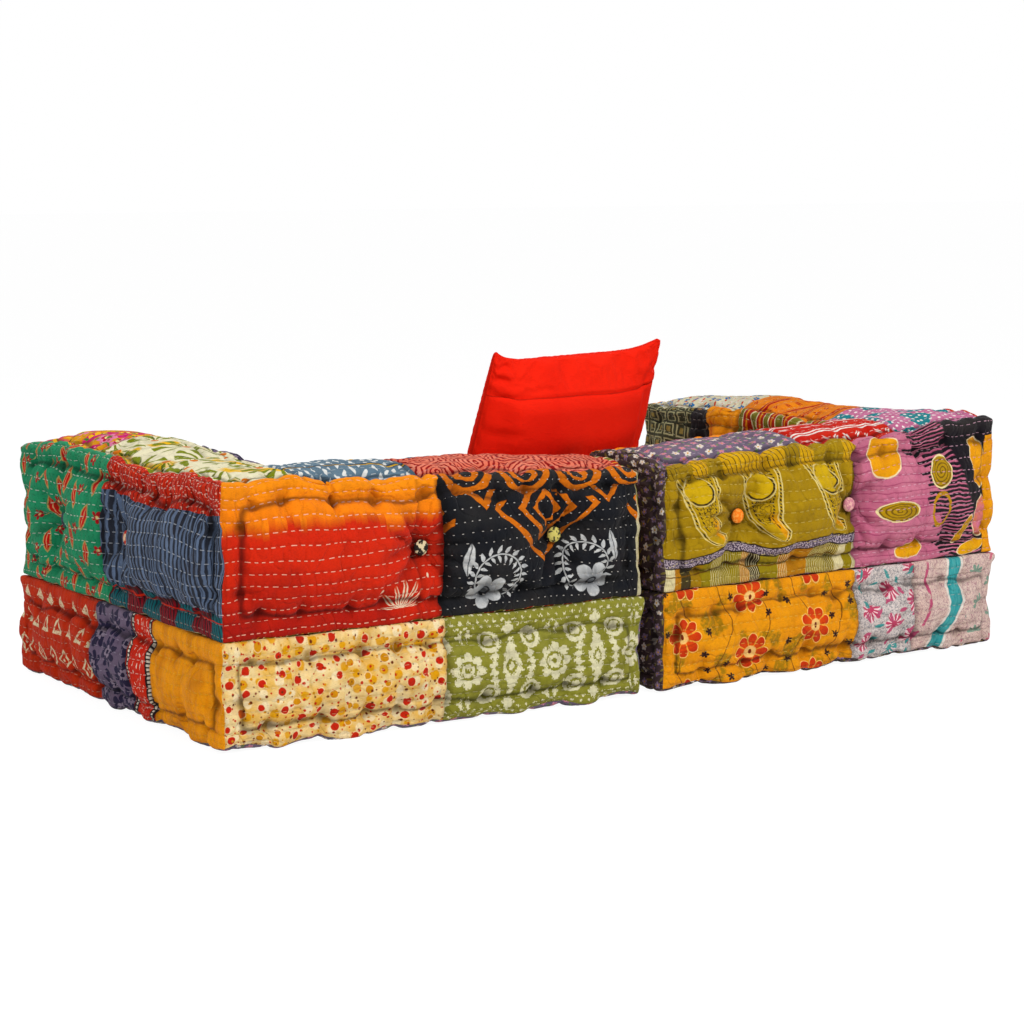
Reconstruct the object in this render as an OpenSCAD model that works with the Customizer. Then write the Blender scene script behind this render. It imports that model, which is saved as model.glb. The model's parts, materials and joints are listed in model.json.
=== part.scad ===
// Two-seat floor sofa of quilted patchwork cushions. Each module is a square seat mattress with an
// L-shaped bolster sewn on top of it, and a loose square pillow leans against the backs.
// Frame: x to the sitter's left, y to the rear, z up, with the origin at the middle of the base.

/* [Modules] */
// Width of one seat mattress, from its inner side to its arm side
module_w = 700; // [640:10:900]
// Depth of one seat mattress, front to rear
module_d = 700; // [640:10:900]
// Height of the seat mattress
seat_h = 150; // [130:5:220]
// Height of the bolster that makes the back and the arm
bolster_h = 208; // [180:4:300]
// Thickness of the bolster's two legs
bolster_t = 200; // [170:5:240]
// How far the bolster stands in from the mattress's sides
bolster_inset = 4; // [0:1:10]
// Gap between the two modules at the front
front_gap = 4; // [3:1:20]
// How far the right module is turned, which opens the gap at the rear
turn = 2; // [0:0.5:4]

/* [Padding] */
// Radius of the stitched roll along every edge
roll_r = 17; // [13:1:20]
// How far the seat's side panels swell out between their rolls
seat_belly = 8; // [2:1:12]
// How far the bolster's panels swell out
bolster_belly = 7; // [2:1:12]
// How high the seat panel is crowned
seat_crown = 12; // [4:1:20]
// How high the bolster's top is crowned
bolster_crown = 8; // [2:1:14]
// How much higher the bolster stands at its corner
corner_rise = 5; // [0:1:16]
// How much lower the bolster is at its two free ends
end_droop = 8; // [0:1:16]
// Thickness of the quilted cover with its wadding, under the flat of a panel
wall = 18; // [16:1:24]
// Room between a filling and its cover
filling_gap = 0.4; // [0.3:0.1:1]

/* [Tufts] */
// Depth of a tuft below the panel
tuft_depth = 26; // [16:1:32]
// Radius over which a tuft draws the panel in
tuft_reach = 52; // [44:1:60]
// Diameter of a covered button
button_d = 22; // [16:1:28]
// Diameter of the tufting twine
twine_d = 2.5; // [2:0.5:4]
// Bolster tufts: from the outer corner to the first one
tuft_first = 315; // [300:5:360]
// Bolster tufts: between the two on each leg
tuft_pitch = 225; // [140:5:235]
// Seat tufts: from the front and inner sides to the first row
seat_tuft_first = 100; // [90:5:130]
// Seat tufts: between the rows
seat_tuft_pitch = 155; // [120:5:170]

/* [Lacing] */
// Pitch of the stitches that sew the bolster to the seat
lacing_pitch = 110; // [80:5:160]
// Length of one lacing stitch
lacing_len = 24; // [16:1:28]

/* [Pillow] */
// Side of the filled pillow, between its corners
pillow_size = 388; // [340:5:450]
// Greatest thickness of the pillow
pillow_t = 106; // [90:2:130]
// How far the pillow's sides draw in between the corners
pillow_waist = 12; // [4:1:20]
// Thickness of the pillow's doubled cotton cover
pillow_cloth = 4; // [3:0.5:6]
// Lean of the pillow from upright
pillow_lean = 17; // [10:0.5:25]
// Turn of the pillow about the vertical
pillow_turn = 14; // [6:1:18]
// How far the pillow stands to the left of the gap between the modules
pillow_left = -10; // [-60:2:60]
// Height of the zip above the pillow's middle
zip_up = 62; // [40:1:80]
// Length of the zip across the pillow's rear
zip_len = 260; // [200:10:280]
// Width of the zip's tape
zip_w = 26; // [22:1:32]

/* [Hidden] */

// Rest gap between soft pieces, room under a button's tip, and clearance of a twine in its hole
rest_gap = 0.3;
tip_gap = 0.8;
twine_gap = 0.25;
floor_cut = 0.5;

// A roll is drawn as chords, from the edge's diagonal to the stitched crease
roll_angles = [45, -5, -55];
rim_steps = len(roll_angles) - 1;
function roll_in(a) = roll_r * (1 - sin(a));
function roll_sink(a) = roll_r * (1 - cos(a));
edge_in = roll_in(roll_angles[0]);
crease_in = roll_in(roll_angles[rim_steps]);
function rim_sink(m) = m <= rim_steps ? roll_sink(roll_angles[m]) : 0;

// n even steps from a, which is left out, to b
function spaced(a, b, n) = [for (m = [1:n]) a + (b - a) * m / n];
function spaced_all(ends, counts) =
    [for (m = [0:len(counts) - 1]) for (v = spaced(ends[m], ends[m + 1], counts[m])) v];
function roll_stops(at) = [for (a = roll_angles) at + roll_in(a)];
function far_stops(at) = [for (m = [rim_steps - 1:-1:0]) at - roll_in(roll_angles[m])];

// 1 in the middle of a panel that runs from a to b, and 0 at its creases
function dome(v, a, b) =
    let (u = (2 * v - a - b) / (b - a))
    abs(u) >= 1 ? 0 : 1 - u * u;
function pit(r) = tuft_depth * exp(-pow(r / tuft_reach, 2));

// Closed skin over a lattice of n cells. The cells under notch[0] along x and under notch[1] along y
// are left out, which makes an L. Layer 0 and the last layer are whole grids and each layer between
// them is a ring, and point(cell, layer) gives each corner.
function ring_cells(n, notch) = concat(
    [for (i = [notch[0]:1:n[0] - 1]) [i, 0]],
    [for (j = [0:1:n[1] - 1]) [n[0], j]],
    [for (i = [n[0]:-1:1]) [i, n[1]]],
    [for (j = [n[1]:-1:notch[1] + 1]) [0, j]],
    [for (i = [0:1:notch[0] - 1]) [i, notch[1]]],
    [for (j = [notch[1]:-1:1]) [notch[0], j]]
);
function grid_cells(n, notch, last = 0) =
    [for (j = [0:n[1] - last]) for (i = [(j < notch[1] ? notch[0] : 0):n[0] - last]) [i, j]];
function grid_index(c, n, notch) =
    let (short = n[0] + 1 - notch[0])
    c[1] < notch[1] ? c[0] - notch[0] + c[1] * short
    : notch[1] * short + (c[1] - notch[1]) * (n[0] + 1) + c[0];
module skin(n, notch, point) {
    ring = ring_cells(n, notch);
    grid = grid_cells(n, notch);
    ring_len = len(ring);
    grid_len = len(grid);
    top = grid_len + (n[2] - 1) * ring_len;
    at = function(q, k)
        let (c = ring[q % ring_len])
        k == 0 ? grid_index(c, n, notch)
        : k == n[2] ? top + grid_index(c, n, notch)
        : grid_len + (k - 1) * ring_len + q % ring_len;
    points = concat(
        [for (c = grid) point(c, 0)],
        [for (k = [1:1:n[2] - 1]) for (c = ring) point(c, k)],
        [for (c = grid) point(c, n[2])]
    );
    flat = [for (c = grid_cells(n, notch, 1)) if (c[0] >= notch[0] || c[1] >= notch[1])
        [for (d = [[0, 0], [1, 0], [1, 1], [0, 1]]) grid_index(c + d, n, notch)]];
    faces = concat(
        [for (f = flat) for (t = [[f[0], f[1], f[2]], [f[0], f[2], f[3]]]) t],
        [for (k = [0:n[2] - 1]) for (q = [0:ring_len - 1])
            for (t = [
                [at(q, k), at(q, k + 1), at(q + 1, k + 1)],
                [at(q, k), at(q + 1, k + 1), at(q + 1, k)]
            ]) t],
        [for (f = flat) for (t = [[f[0], f[2], f[1]], [f[0], f[3], f[2]]]) [for (v = t) v + top]]
    );
    polyhedron(points, faces);
}

// Padded block or L with a roll along every edge. out(face, s, z) swells a side at the distance s
// along it, and lift(x, y, up) moves the top or the base.
function padded_point(c, k, xs, ys, zs, notch, out, lift) =
    let (
        i = c[0],
        j = c[1],
        n = [len(xs) - 1, len(ys) - 1, len(zs) - 1],
        x = xs[i],
        y = ys[j],
        z = zs[k],
        inner_x = notch[0] > 0 && i == notch[0] && j <= notch[1],
        inner_y = notch[1] > 0 && j == notch[1] && i <= notch[0],
        rim_z = rim_sink(min(k, n[2] - k)),
        rim_j = rim_sink(inner_x ? j : min(i == 0 ? j - notch[1] : j, n[1] - j)),
        rim_i = rim_sink(inner_y ? i : min(j == 0 ? i - notch[0] : i, n[0] - i)),
        in_notch = notch[0] > 0 ? max(i - notch[0], j - notch[1]) : rim_steps + 1,
        rim_up = rim_sink(min(i, n[0] - i, j, n[1] - j, in_notch)),
        in_x = max(rim_z, rim_j),
        in_y = max(rim_z, rim_i)
    )
    [
        i == 0 ? in_x - out("inner", y, z)
        : i == n[0] ? x + edge_in - in_x + out("arm", y, z)
        : inner_x ? x - edge_in + in_x - out("arm_inside", y, z)
        : x,
        j == 0 ? in_y - out("front", x, z)
        : j == n[1] ? y + edge_in - in_y + out("rear", x, z)
        : inner_y ? y - edge_in + in_y - out("back_inside", x, z)
        : y,
        k == 0 ? rim_up + lift(x, y, false)
        : k == n[2] ? z + edge_in - rim_up + lift(x, y, true)
        : z + lift(x, y, true) * max(0, 2 * z / (zs[n[2]] + edge_in) - 1)
    ];
module padded(xs, ys, zs, notch, out, lift) {
    n = [len(xs) - 1, len(ys) - 1, len(zs) - 1];
    skin(n, notch, function(c, k) padded_point(c, k, xs, ys, zs, notch, out, lift));
}

// A cavity is an upright block with rounded corners, and the wall keeps its thickness round a tuft by
// a cone that stands into the block there
cavity_round = 22;
cone_base = tuft_reach * 1.2;
cone_top = 12;
module rounded_plate(w, d, h) {
    linear_extrude(h) {
        translate([cavity_round, 0]) square([w - 2 * cavity_round, d]);
        translate([0, cavity_round]) square([w, d - 2 * cavity_round]);
        for (x = [cavity_round, w - cavity_round]) {
            for (y = [cavity_round, d - cavity_round]) {
                translate([x, y]) circle(r = cavity_round, $fn = 48);
            }
        }
    }
}
module tuft_cone(gap) {
    h = tuft_depth + 1 + gap;
    translate([0, 0, -1]) cylinder(r1 = cone_base + gap, r2 = cone_top + gap, h = h, $fn = 48);
}

// Covered button on its twine, with the tip of its shank at the origin
module button() {
    r = button_d / 2;
    rotate_extrude($fn = 32)
        polygon([
            [0, 0], [twine_d / 2, 0], [r, 0.6 * r], [r, 0.72 * r], [0.84 * r, 0.96 * r],
            [0.45 * r, 1.1 * r], [0, 1.14 * r]
        ]);
}

// Seat mattress, in its module's frame: x runs from the inner side to the arm, y from front to rear
inner_belly = front_gap / 2 - 0.6;
bolster_x = module_w - bolster_inset - bolster_t;
bolster_y = module_d - bolster_inset - bolster_t;
// Five tufts stand in the open part of the seat, at the corners and the middle of a square
seat_rows = [for (m = [0:2]) seat_tuft_first + m * seat_tuft_pitch];
seat_tufts = [for (m = [[0, 0], [2, 0], [1, 1], [0, 2], [2, 2]]) [seat_rows[m[0]], seat_rows[m[1]]]];
function seat_stops(length, notch) = concat(
    roll_stops(0),
    spaced_all(concat([crease_in], seat_rows, [notch, length - crease_in]), [2, 2, 2, 2, 3]),
    far_stops(length)
);
seat_x = seat_stops(module_w, bolster_x);
seat_y = seat_stops(module_d, bolster_y);
seat_z = concat(roll_stops(0), spaced(crease_in, seat_h - crease_in, 2), far_stops(seat_h));
function seat_swell(x, y) =
    seat_crown * pow(dome(x, crease_in, bolster_x) * dome(y, crease_in, bolster_y), 0.7);
function seat_pits(x, y) = max([for (t = seat_tufts) pit(norm([x, y] - t))]);
seat_out = function(face, s, z)
    (face == "inner" ? inner_belly : seat_belly)
    * dome(z, crease_in, seat_h - crease_in)
    * dome(s, crease_in, (face == "inner" || face == "arm" ? module_d : module_w) - crease_in);
seat_lift = function(x, y, up)
    up ? seat_swell(x, y) - seat_pits(x, y) : seat_pits(x, y) - floor_cut;
seat_floor_tip = tuft_depth - floor_cut - tip_gap;
function seat_top_tip(t) = seat_h + seat_swell(t[0], t[1]) - tuft_depth + tip_gap;

module seat_block(gap) {
    low = wall + gap;
    difference() {
        translate([low, low, low])
            rounded_plate(module_w - 2 * low, module_d - 2 * low, seat_h - 2 * low);
        for (t = seat_tufts) {
            translate([t[0], t[1], low]) tuft_cone(gap);
            translate([t[0], t[1], seat_h - low]) mirror([0, 0, 1]) tuft_cone(gap);
        }
    }
}
module seat_twines(gap, d) {
    for (t = seat_tufts) {
        translate([t[0], t[1], seat_floor_tip - gap])
            cylinder(d = d, h = seat_top_tip(t) - seat_floor_tip + 2 * gap, $fn = 24);
    }
}
module seat_cover() {
    difference() {
        padded(seat_x, seat_y, seat_z, [0, 0], seat_out, seat_lift);
        seat_block(0);
        seat_twines(1, twine_d + 2 * twine_gap);
        lacing_holes();
        translate([-module_w, -module_d, -10]) cube([3 * module_w, 3 * module_d, 10]);
    }
}
module seat_filling() {
    difference() {
        seat_block(filling_gap);
        seat_twines(1, twine_d + 2 * twine_gap);
    }
}
module seat_ties() {
    seat_twines(0, twine_d);
}
module seat_buttons() {
    for (t = seat_tufts) {
        translate([t[0], t[1], seat_top_tip(t)]) button();
        translate([t[0], t[1], seat_floor_tip]) mirror([0, 0, 1]) button();
    }
}

// Bolster, in the same module frame: one L-shaped cushion on the rear and arm sides of the mattress
bolster_z = seat_h + rest_gap;
bolster_w = module_w - 2 * bolster_inset;
bolster_d = module_d - 2 * bolster_inset;
function leg_rows(length) = [length - tuft_first - tuft_pitch, length - tuft_first];
function bolster_stops(length) =
    let (rows = leg_rows(length), notch = length - bolster_t)
    concat(
        roll_stops(0),
        spaced_all([crease_in, rows[0], rows[1], notch + edge_in], [2, 2, 2]),
        [for (m = [1:rim_steps]) notch + roll_in(roll_angles[m])],
        spaced(notch + crease_in, length - crease_in, 2),
        far_stops(length)
    );
bolster_xs = bolster_stops(bolster_w);
bolster_ys = bolster_stops(bolster_d);
bolster_zs = concat(roll_stops(0), spaced(crease_in, bolster_h - crease_in, 4), far_stops(bolster_h));
bolster_notch = [for (length = [bolster_w, bolster_d]) rim_steps + 6];
function along_leg(face, s) =
    face == "rear" ? dome(s, crease_in, bolster_w - crease_in)
    : face == "arm" ? dome(s, crease_in, bolster_d - crease_in)
    : face == "back_inside" ? dome(s, crease_in, bolster_w - bolster_t)
    : face == "arm_inside" ? dome(s, crease_in, bolster_d - bolster_t)
    : 0;
function leg_pits(face, s, z) =
    let (rows = leg_rows(face == "rear" || face == "back_inside" ? bolster_w : bolster_d))
    face == "inner" || face == "front" ? 0
    : max([for (row = rows) pit(norm([s - row, z - bolster_h / 2]))]);
bolster_out = function(face, s, z)
    bolster_belly * dome(z, crease_in, bolster_h - crease_in) * along_leg(face, s)
    - leg_pits(face, s, z);
// The top falls from the corner to the free ends, and is crowned between its rolls
bolster_lift = function(x, y, up)
    let (
        away = max((bolster_w - x) / bolster_w, (bolster_d - y) / bolster_d),
        over_back = dome(y, bolster_d - bolster_t + crease_in, bolster_d - crease_in),
        over_arm = dome(x, bolster_w - bolster_t + crease_in, bolster_w - crease_in)
    )
    up ? corner_rise - (corner_rise + end_droop) * away + bolster_crown * max(over_back, over_arm) : 0;

module in_bolster() {
    translate([bolster_inset, bolster_inset, bolster_z]) children();
}
// Puts its child at the outer tip of each tuft of the back and the arm, with z along the twine, which
// is $twine long from tip to tip
module at_leg_tufts() {
    tip = tuft_depth - tip_gap;
    for (row = leg_rows(bolster_w)) {
        outer = bolster_belly * along_leg("rear", row) - tip;
        $twine = bolster_t + outer + bolster_belly * along_leg("back_inside", row) - tip;
        translate([row, bolster_d + outer, bolster_h / 2]) rotate([90, 0, 0]) children();
    }
    for (row = leg_rows(bolster_d)) {
        outer = bolster_belly * along_leg("arm", row) - tip;
        $twine = bolster_t + outer + bolster_belly * along_leg("arm_inside", row) - tip;
        translate([bolster_w + outer, row, bolster_h / 2]) rotate([0, -90, 0]) children();
    }
}
module bolster_block(gap) {
    low = wall + gap;
    h = bolster_h - end_droop - 2 * low;
    difference() {
        union() {
            translate([low, bolster_d - bolster_t + low, low])
                rounded_plate(bolster_w - 2 * low, bolster_t - 2 * low, h);
            translate([bolster_w - bolster_t + low, low, low])
                rounded_plate(bolster_t - 2 * low, bolster_d - 2 * low, h);
        }
        at_leg_tufts() {
            translate([0, 0, wall - tuft_depth]) tuft_cone(gap);
            translate([0, 0, $twine + tuft_depth - wall]) mirror([0, 0, 1]) tuft_cone(gap);
        }
    }
}
module leg_twines(gap, d) {
    at_leg_tufts() translate([0, 0, -gap]) cylinder(d = d, h = $twine + 2 * gap, $fn = 24);
}
module bolster_cover() {
    difference() {
        in_bolster() difference() {
            padded(bolster_xs, bolster_ys, bolster_zs, bolster_notch, bolster_out, bolster_lift);
            bolster_block(0);
            leg_twines(1, twine_d + 2 * twine_gap);
        }
        lacing_holes();
    }
}
module bolster_filling() {
    in_bolster() difference() {
        bolster_block(filling_gap);
        leg_twines(1, twine_d + 2 * twine_gap);
    }
}
module bolster_ties() {
    in_bolster() leg_twines(0, twine_d);
}
module bolster_buttons() {
    in_bolster() at_leg_tufts() {
        mirror([0, 0, 1]) button();
        translate([0, 0, $twine]) button();
    }
}

// Lacing: upright stitches of twine through the rolls that meet where the bolster stands on the seat
lacing_in = roll_r;
function lacing_row(length) =
    let (n = floor((length - 2 * crease_in) / lacing_pitch))
    [for (m = [0:n]) length / 2 + (m - n / 2) * lacing_pitch];
module lacing_rods(d, h) {
    for (x = lacing_row(bolster_w)) {
        translate([x, bolster_d - lacing_in, 0]) cylinder(d = d, h = h, center = true, $fn = 24);
    }
    for (y = lacing_row(bolster_d - bolster_t)) {
        translate([bolster_w - lacing_in, y, 0]) cylinder(d = d, h = h, center = true, $fn = 24);
        translate([bolster_w - bolster_t + lacing_in, y, 0])
            cylinder(d = d, h = h, center = true, $fn = 24);
    }
    for (x = lacing_row(bolster_w - bolster_t)) {
        translate([x, bolster_d - bolster_t + lacing_in, 0])
            cylinder(d = d, h = h, center = true, $fn = 24);
    }
}
module lacing() {
    in_bolster() lacing_rods(twine_d, lacing_len);
}
module lacing_holes() {
    in_bolster() lacing_rods(twine_d + 2 * twine_gap, lacing_len + 2 * twine_gap);
}

// The two modules in the sofa's frame. The right one is a mirrored left one.
far_x = front_gap / 2 + module_w + seat_belly;
near_x = front_gap / 2 + module_w * cos(turn) + module_d * sin(turn) - edge_in;
middle = [
    (far_x - near_x) / 2,
    (module_d + seat_belly - max(module_w * sin(turn) - edge_in, seat_belly)) / 2
];
module in_sofa() {
    translate([-middle[0], -middle[1], 0]) children();
}
module on_left() {
    in_sofa() translate([front_gap / 2, 0, 0]) children();
}
module on_right() {
    in_sofa() translate([-front_gap / 2, 0, 0]) rotate([0, 0, turn]) mirror([1, 0, 0]) children();
}

// Pillow, in its own frame: x across, y through it to the rear, z up, with the origin at its middle
pillow_cells = 14;
pillow_seam = 4;
pillow_fullness = 0.55;
pillow_half = pillow_size / 2;
function pillow_stop(m) = sin(90 * (2 * m / pillow_cells - 1));
function pillow_side(a, inset) = pillow_half - 3 * inset - pillow_waist * (1 - a * a);
function pillow_depth(a, b, inset) =
    (pillow_t / 2 - pillow_seam / 2 - inset) * pow(max(0, (1 - a * a) * (1 - b * b)), pillow_fullness);
function pillow_point(c, k, inset) =
    let (
        a = pillow_stop(c[0]),
        b = pillow_stop(c[1]),
        seam = inset > 0 ? pillow_seam / 4 : pillow_seam / 2,
        deep = seam + pillow_depth(a, b, inset)
    )
    [a * pillow_side(b, inset), b * pillow_side(a, inset), k == 0 ? -deep : deep];
module pillow_form(inset) {
    rotate([90, 0, 0])
        skin([pillow_cells, pillow_cells, 1], [0, 0], function(c, k) pillow_point(c, k, inset));
}

// The zip lies in the rear of the pillow along an arc, so that its slider turns about the arc's centre
tape_t = 3;
coil_t = 2;
coil_w = 5;
zip_b = zip_up / pillow_side(0, 0);
zip_a = zip_len / 2 / pillow_side(zip_b, 0);
zip_high = pillow_seam / 2 + pillow_depth(0, zip_b, 0);
zip_low = pillow_seam / 2 + pillow_depth(zip_a, zip_up / pillow_side(zip_a, 0), 0);
zip_sag = zip_high - zip_low;
zip_r = (pow(zip_len / 2, 2) + pow(zip_sag, 2)) / (2 * zip_sag);
zip_half = asin(zip_len / 2 / zip_r);
slider_half = 6;
slider_stop = 2 * asin(slider_half / zip_r);
module zip_arc(r1, r2, w, half) {
    rotate([0, 0, 90 - half]) rotate_extrude(angle = 2 * half, $fn = 96)
        translate([r1, -w / 2]) square([r2 - r1, w]);
}
module at_zip() {
    translate([0, zip_high - zip_r, zip_up]) children();
}
zip_end_gap = asin(rest_gap / zip_r);
module zip_slot(below, beyond) {
    at_zip() zip_arc(zip_r - tape_t - coil_t / 2 - below, zip_r + pillow_t, zip_w + 2 * rest_gap, beyond);
}
// The pillow leans on the top inner roll of the left back, at the stop of its mesh that reaches furthest
function pillow_rear(a) = pillow_seam / 2 + pillow_depth(a, 0, 0);
function reach_at(a) =
    a * pillow_side(0, 0) * sin(pillow_turn) + pillow_rear(a) * cos(pillow_lean) * cos(pillow_turn);
pillow_stops = [for (m = [0:pillow_cells]) pillow_stop(m)];
pillow_reach = max([for (a = pillow_stops) reach_at(a)]);
lean_a = [for (a = pillow_stops) if (reach_at(a) == pillow_reach) a][0];
lean_x = pillow_left + lean_a * pillow_side(0, 0) * cos(pillow_turn) - front_gap / 2 - bolster_inset;
roll_flat = roll_r * cos((roll_angles[0] - roll_angles[1]) / 2);
lean_roll = [
    bolster_y + roll_r,
    bolster_z + bolster_h - roll_r + bolster_lift(lean_x, bolster_d - bolster_t, true)
];
// Its lower corners come over the two seats, and it stands on the one that is higher there
function foot_corner(side) =
    let (back = pillow_half * sin(pillow_lean), near_y = lean_roll[0] - roll_flat - pillow_reach)
    [
        pillow_left + side * pillow_half * cos(pillow_turn) + back * sin(pillow_turn),
        near_y + side * pillow_half * sin(pillow_turn) - back * cos(pillow_turn)
    ];
function left_rise(p) = seat_lift(p[0] - front_gap / 2, p[1], true);
function right_rise(p) =
    let (x = p[0] + front_gap / 2)
    seat_lift(-x * cos(turn) - p[1] * sin(turn), -x * sin(turn) + p[1] * cos(turn), true);
pillow_foot = seat_h + max(left_rise(foot_corner(1)), right_rise(foot_corner(-1)))
    + pillow_seam / 2 * sin(pillow_lean) + rest_gap;
pillow_z = pillow_foot + pillow_half * cos(pillow_lean);
section_lean = atan(tan(pillow_lean) * cos(pillow_turn));
roll_above = lean_roll[1] - pillow_z + pillow_rear(lean_a) * sin(pillow_lean);
pillow_y = lean_roll[0] - pillow_reach
    - (roll_flat + rest_gap + roll_above * sin(section_lean)) / cos(section_lean);
module on_seats() {
    in_sofa() translate([pillow_left, pillow_y, pillow_z]) rotate([0, 0, pillow_turn])
        rotate([-pillow_lean, 0, 0]) children();
}
module pillow_cover() {
    color("orangered") on_seats() difference() {
        pillow_form(0);
        pillow_form(pillow_cloth);
        zip_slot(rest_gap, zip_half + zip_end_gap);
    }
}
module pillow_filling() {
    color("white") on_seats() difference() {
        pillow_form(pillow_cloth + filling_gap);
        zip_slot(2 * rest_gap, zip_half + zip_end_gap);
    }
}
module pillow_zip() {
    tape_r = zip_r - coil_t / 2;
    color("firebrick") on_seats() at_zip() {
        zip_arc(tape_r - tape_t, tape_r, zip_w, zip_half);
        zip_arc(tape_r, tape_r + coil_t, coil_w, zip_half);
    }
}
module pillow_zip_slider() {
    coil_r = zip_r + coil_t / 2;
    length = 2 * slider_half;
    body_t = 2.5;
    cheek_t = 2;
    tab = [5, 1.5, 20];
    width = coil_w + 2 * rest_gap + 2 * cheek_t;
    color("silver") on_seats() at_zip() rotate([0, 0, slider_stop - zip_half]) {
        translate([-slider_half, coil_r + rest_gap, -width / 2]) cube([length, body_t, width]);
        for (low = [-width / 2, width / 2 - cheek_t]) {
            translate([-slider_half, coil_r - coil_t + 2 * rest_gap, low]) cube([length, coil_t, cheek_t]);
        }
        translate([-tab[0] / 2, coil_r + rest_gap + body_t, width / 2 - tab[2]]) cube(tab);
    }
}

module left_seat_cover() { color("darkkhaki") on_left() seat_cover(); }
module left_seat_filling() { color("ivory") on_left() seat_filling(); }
module left_seat_ties() { color("wheat") on_left() seat_ties(); }
module left_seat_buttons() { color("peru") on_left() seat_buttons(); }
module left_bolster_cover() { color("firebrick") on_left() bolster_cover(); }
module left_bolster_filling() { color("ivory") on_left() bolster_filling(); }
module left_bolster_ties() { color("wheat") on_left() bolster_ties(); }
module left_bolster_buttons() { color("khaki") on_left() bolster_buttons(); }
module left_lacing() { color("wheat") on_left() lacing(); }
module right_seat_cover() { color("goldenrod") on_right() seat_cover(); }
module right_seat_filling() { color("ivory") on_right() seat_filling(); }
module right_seat_ties() { color("wheat") on_right() seat_ties(); }
module right_seat_buttons() { color("teal") on_right() seat_buttons(); }
module right_bolster_cover() { color("olive") on_right() bolster_cover(); }
module right_bolster_filling() { color("ivory") on_right() bolster_filling(); }
module right_bolster_ties() { color("wheat") on_right() bolster_ties(); }
module right_bolster_buttons() { color("darkorange") on_right() bolster_buttons(); }
module right_lacing() { color("wheat") on_right() lacing(); }

left_seat_cover();
left_seat_filling();
left_seat_ties();
left_seat_buttons();
left_bolster_cover();
left_bolster_filling();
left_bolster_ties();
left_bolster_buttons();
left_lacing();
right_seat_cover();
right_seat_filling();
right_seat_ties();
right_seat_buttons();
right_bolster_cover();
right_bolster_filling();
right_bolster_ties();
right_bolster_buttons();
right_lacing();
pillow_cover();
pillow_filling();
pillow_zip();
pillow_zip_slider();
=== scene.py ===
import json
import math
import bmesh
import bpy
import numpy as np
from mathutils import Matrix, Vector

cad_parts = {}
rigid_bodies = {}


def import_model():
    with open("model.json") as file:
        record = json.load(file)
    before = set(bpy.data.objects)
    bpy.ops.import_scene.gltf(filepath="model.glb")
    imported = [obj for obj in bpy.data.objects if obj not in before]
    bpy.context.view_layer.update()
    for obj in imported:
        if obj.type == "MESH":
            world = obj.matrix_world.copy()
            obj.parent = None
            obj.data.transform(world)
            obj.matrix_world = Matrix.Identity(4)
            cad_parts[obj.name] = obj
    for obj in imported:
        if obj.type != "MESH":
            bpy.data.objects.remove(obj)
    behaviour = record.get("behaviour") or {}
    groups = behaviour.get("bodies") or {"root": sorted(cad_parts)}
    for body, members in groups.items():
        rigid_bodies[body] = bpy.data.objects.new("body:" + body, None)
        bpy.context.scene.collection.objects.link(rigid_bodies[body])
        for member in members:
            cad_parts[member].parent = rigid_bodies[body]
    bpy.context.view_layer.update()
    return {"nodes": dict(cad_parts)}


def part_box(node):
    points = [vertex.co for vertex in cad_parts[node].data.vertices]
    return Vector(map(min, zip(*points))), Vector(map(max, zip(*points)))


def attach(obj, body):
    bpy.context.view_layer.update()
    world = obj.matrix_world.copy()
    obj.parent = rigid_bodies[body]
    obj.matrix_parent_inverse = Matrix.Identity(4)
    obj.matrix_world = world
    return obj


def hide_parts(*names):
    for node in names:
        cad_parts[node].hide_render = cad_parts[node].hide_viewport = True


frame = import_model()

tiny = 1e-6

# The sofa's own sizes in metres, as its solids have them. Each module's own frame runs x from the
# inner side to the arm, y from the front to the rear and z up.
sofa = {
    "side": 0.700,              # one seat mattress, both ways
    "seatHigh": 0.150,
    "bolsterHigh": 0.208,
    "bolsterThick": 0.200,
    "bolsterIn": 0.004,         # how far the bolster stands in from the mattress
    "restGap": 0.0003,
    "gap": 0.004,               # between the modules at the front
    "turn": math.radians(2),    # of the right module
    "seatBelly": 0.008,
    "innerBelly": 0.0014,
    "bolsterBelly": 0.007,
    "seatCrown": 0.012,
    "bolsterCrown": 0.008,
    "cornerRise": 0.005,
    "endDroop": 0.008,
    "floorCut": 0.0005,
    "fillingIn": 0.0184,        # from a mattress's sides to its filling
}
bolsterSide = sofa["side"] - 2 * sofa["bolsterIn"]
bolsterFoot = sofa["seatHigh"] + sofa["restGap"]
legInside = bolsterSide - sofa["bolsterThick"]
bareSeat = sofa["side"] - sofa["bolsterIn"] - sofa["bolsterThick"]

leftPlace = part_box("left_seat_filling")[0] - Vector((1, 1, 1)) * sofa["fillingIn"]
rightPlace = leftPlace - Vector((sofa["gap"], 0, 0))


def intoSofa(points, right):
    # from a module's own frame to the sofa's, the right module being mirrored and turned
    if not right:
        return points + np.array(leftPlace)
    c, s = math.cos(sofa["turn"]), math.sin(sofa["turn"])
    across, back = -points[:, 0], points[:, 1]
    turned = np.stack([across * c - back * s, across * s + back * c, points[:, 2]], 1)
    return turned + np.array(rightPlace)


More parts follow.
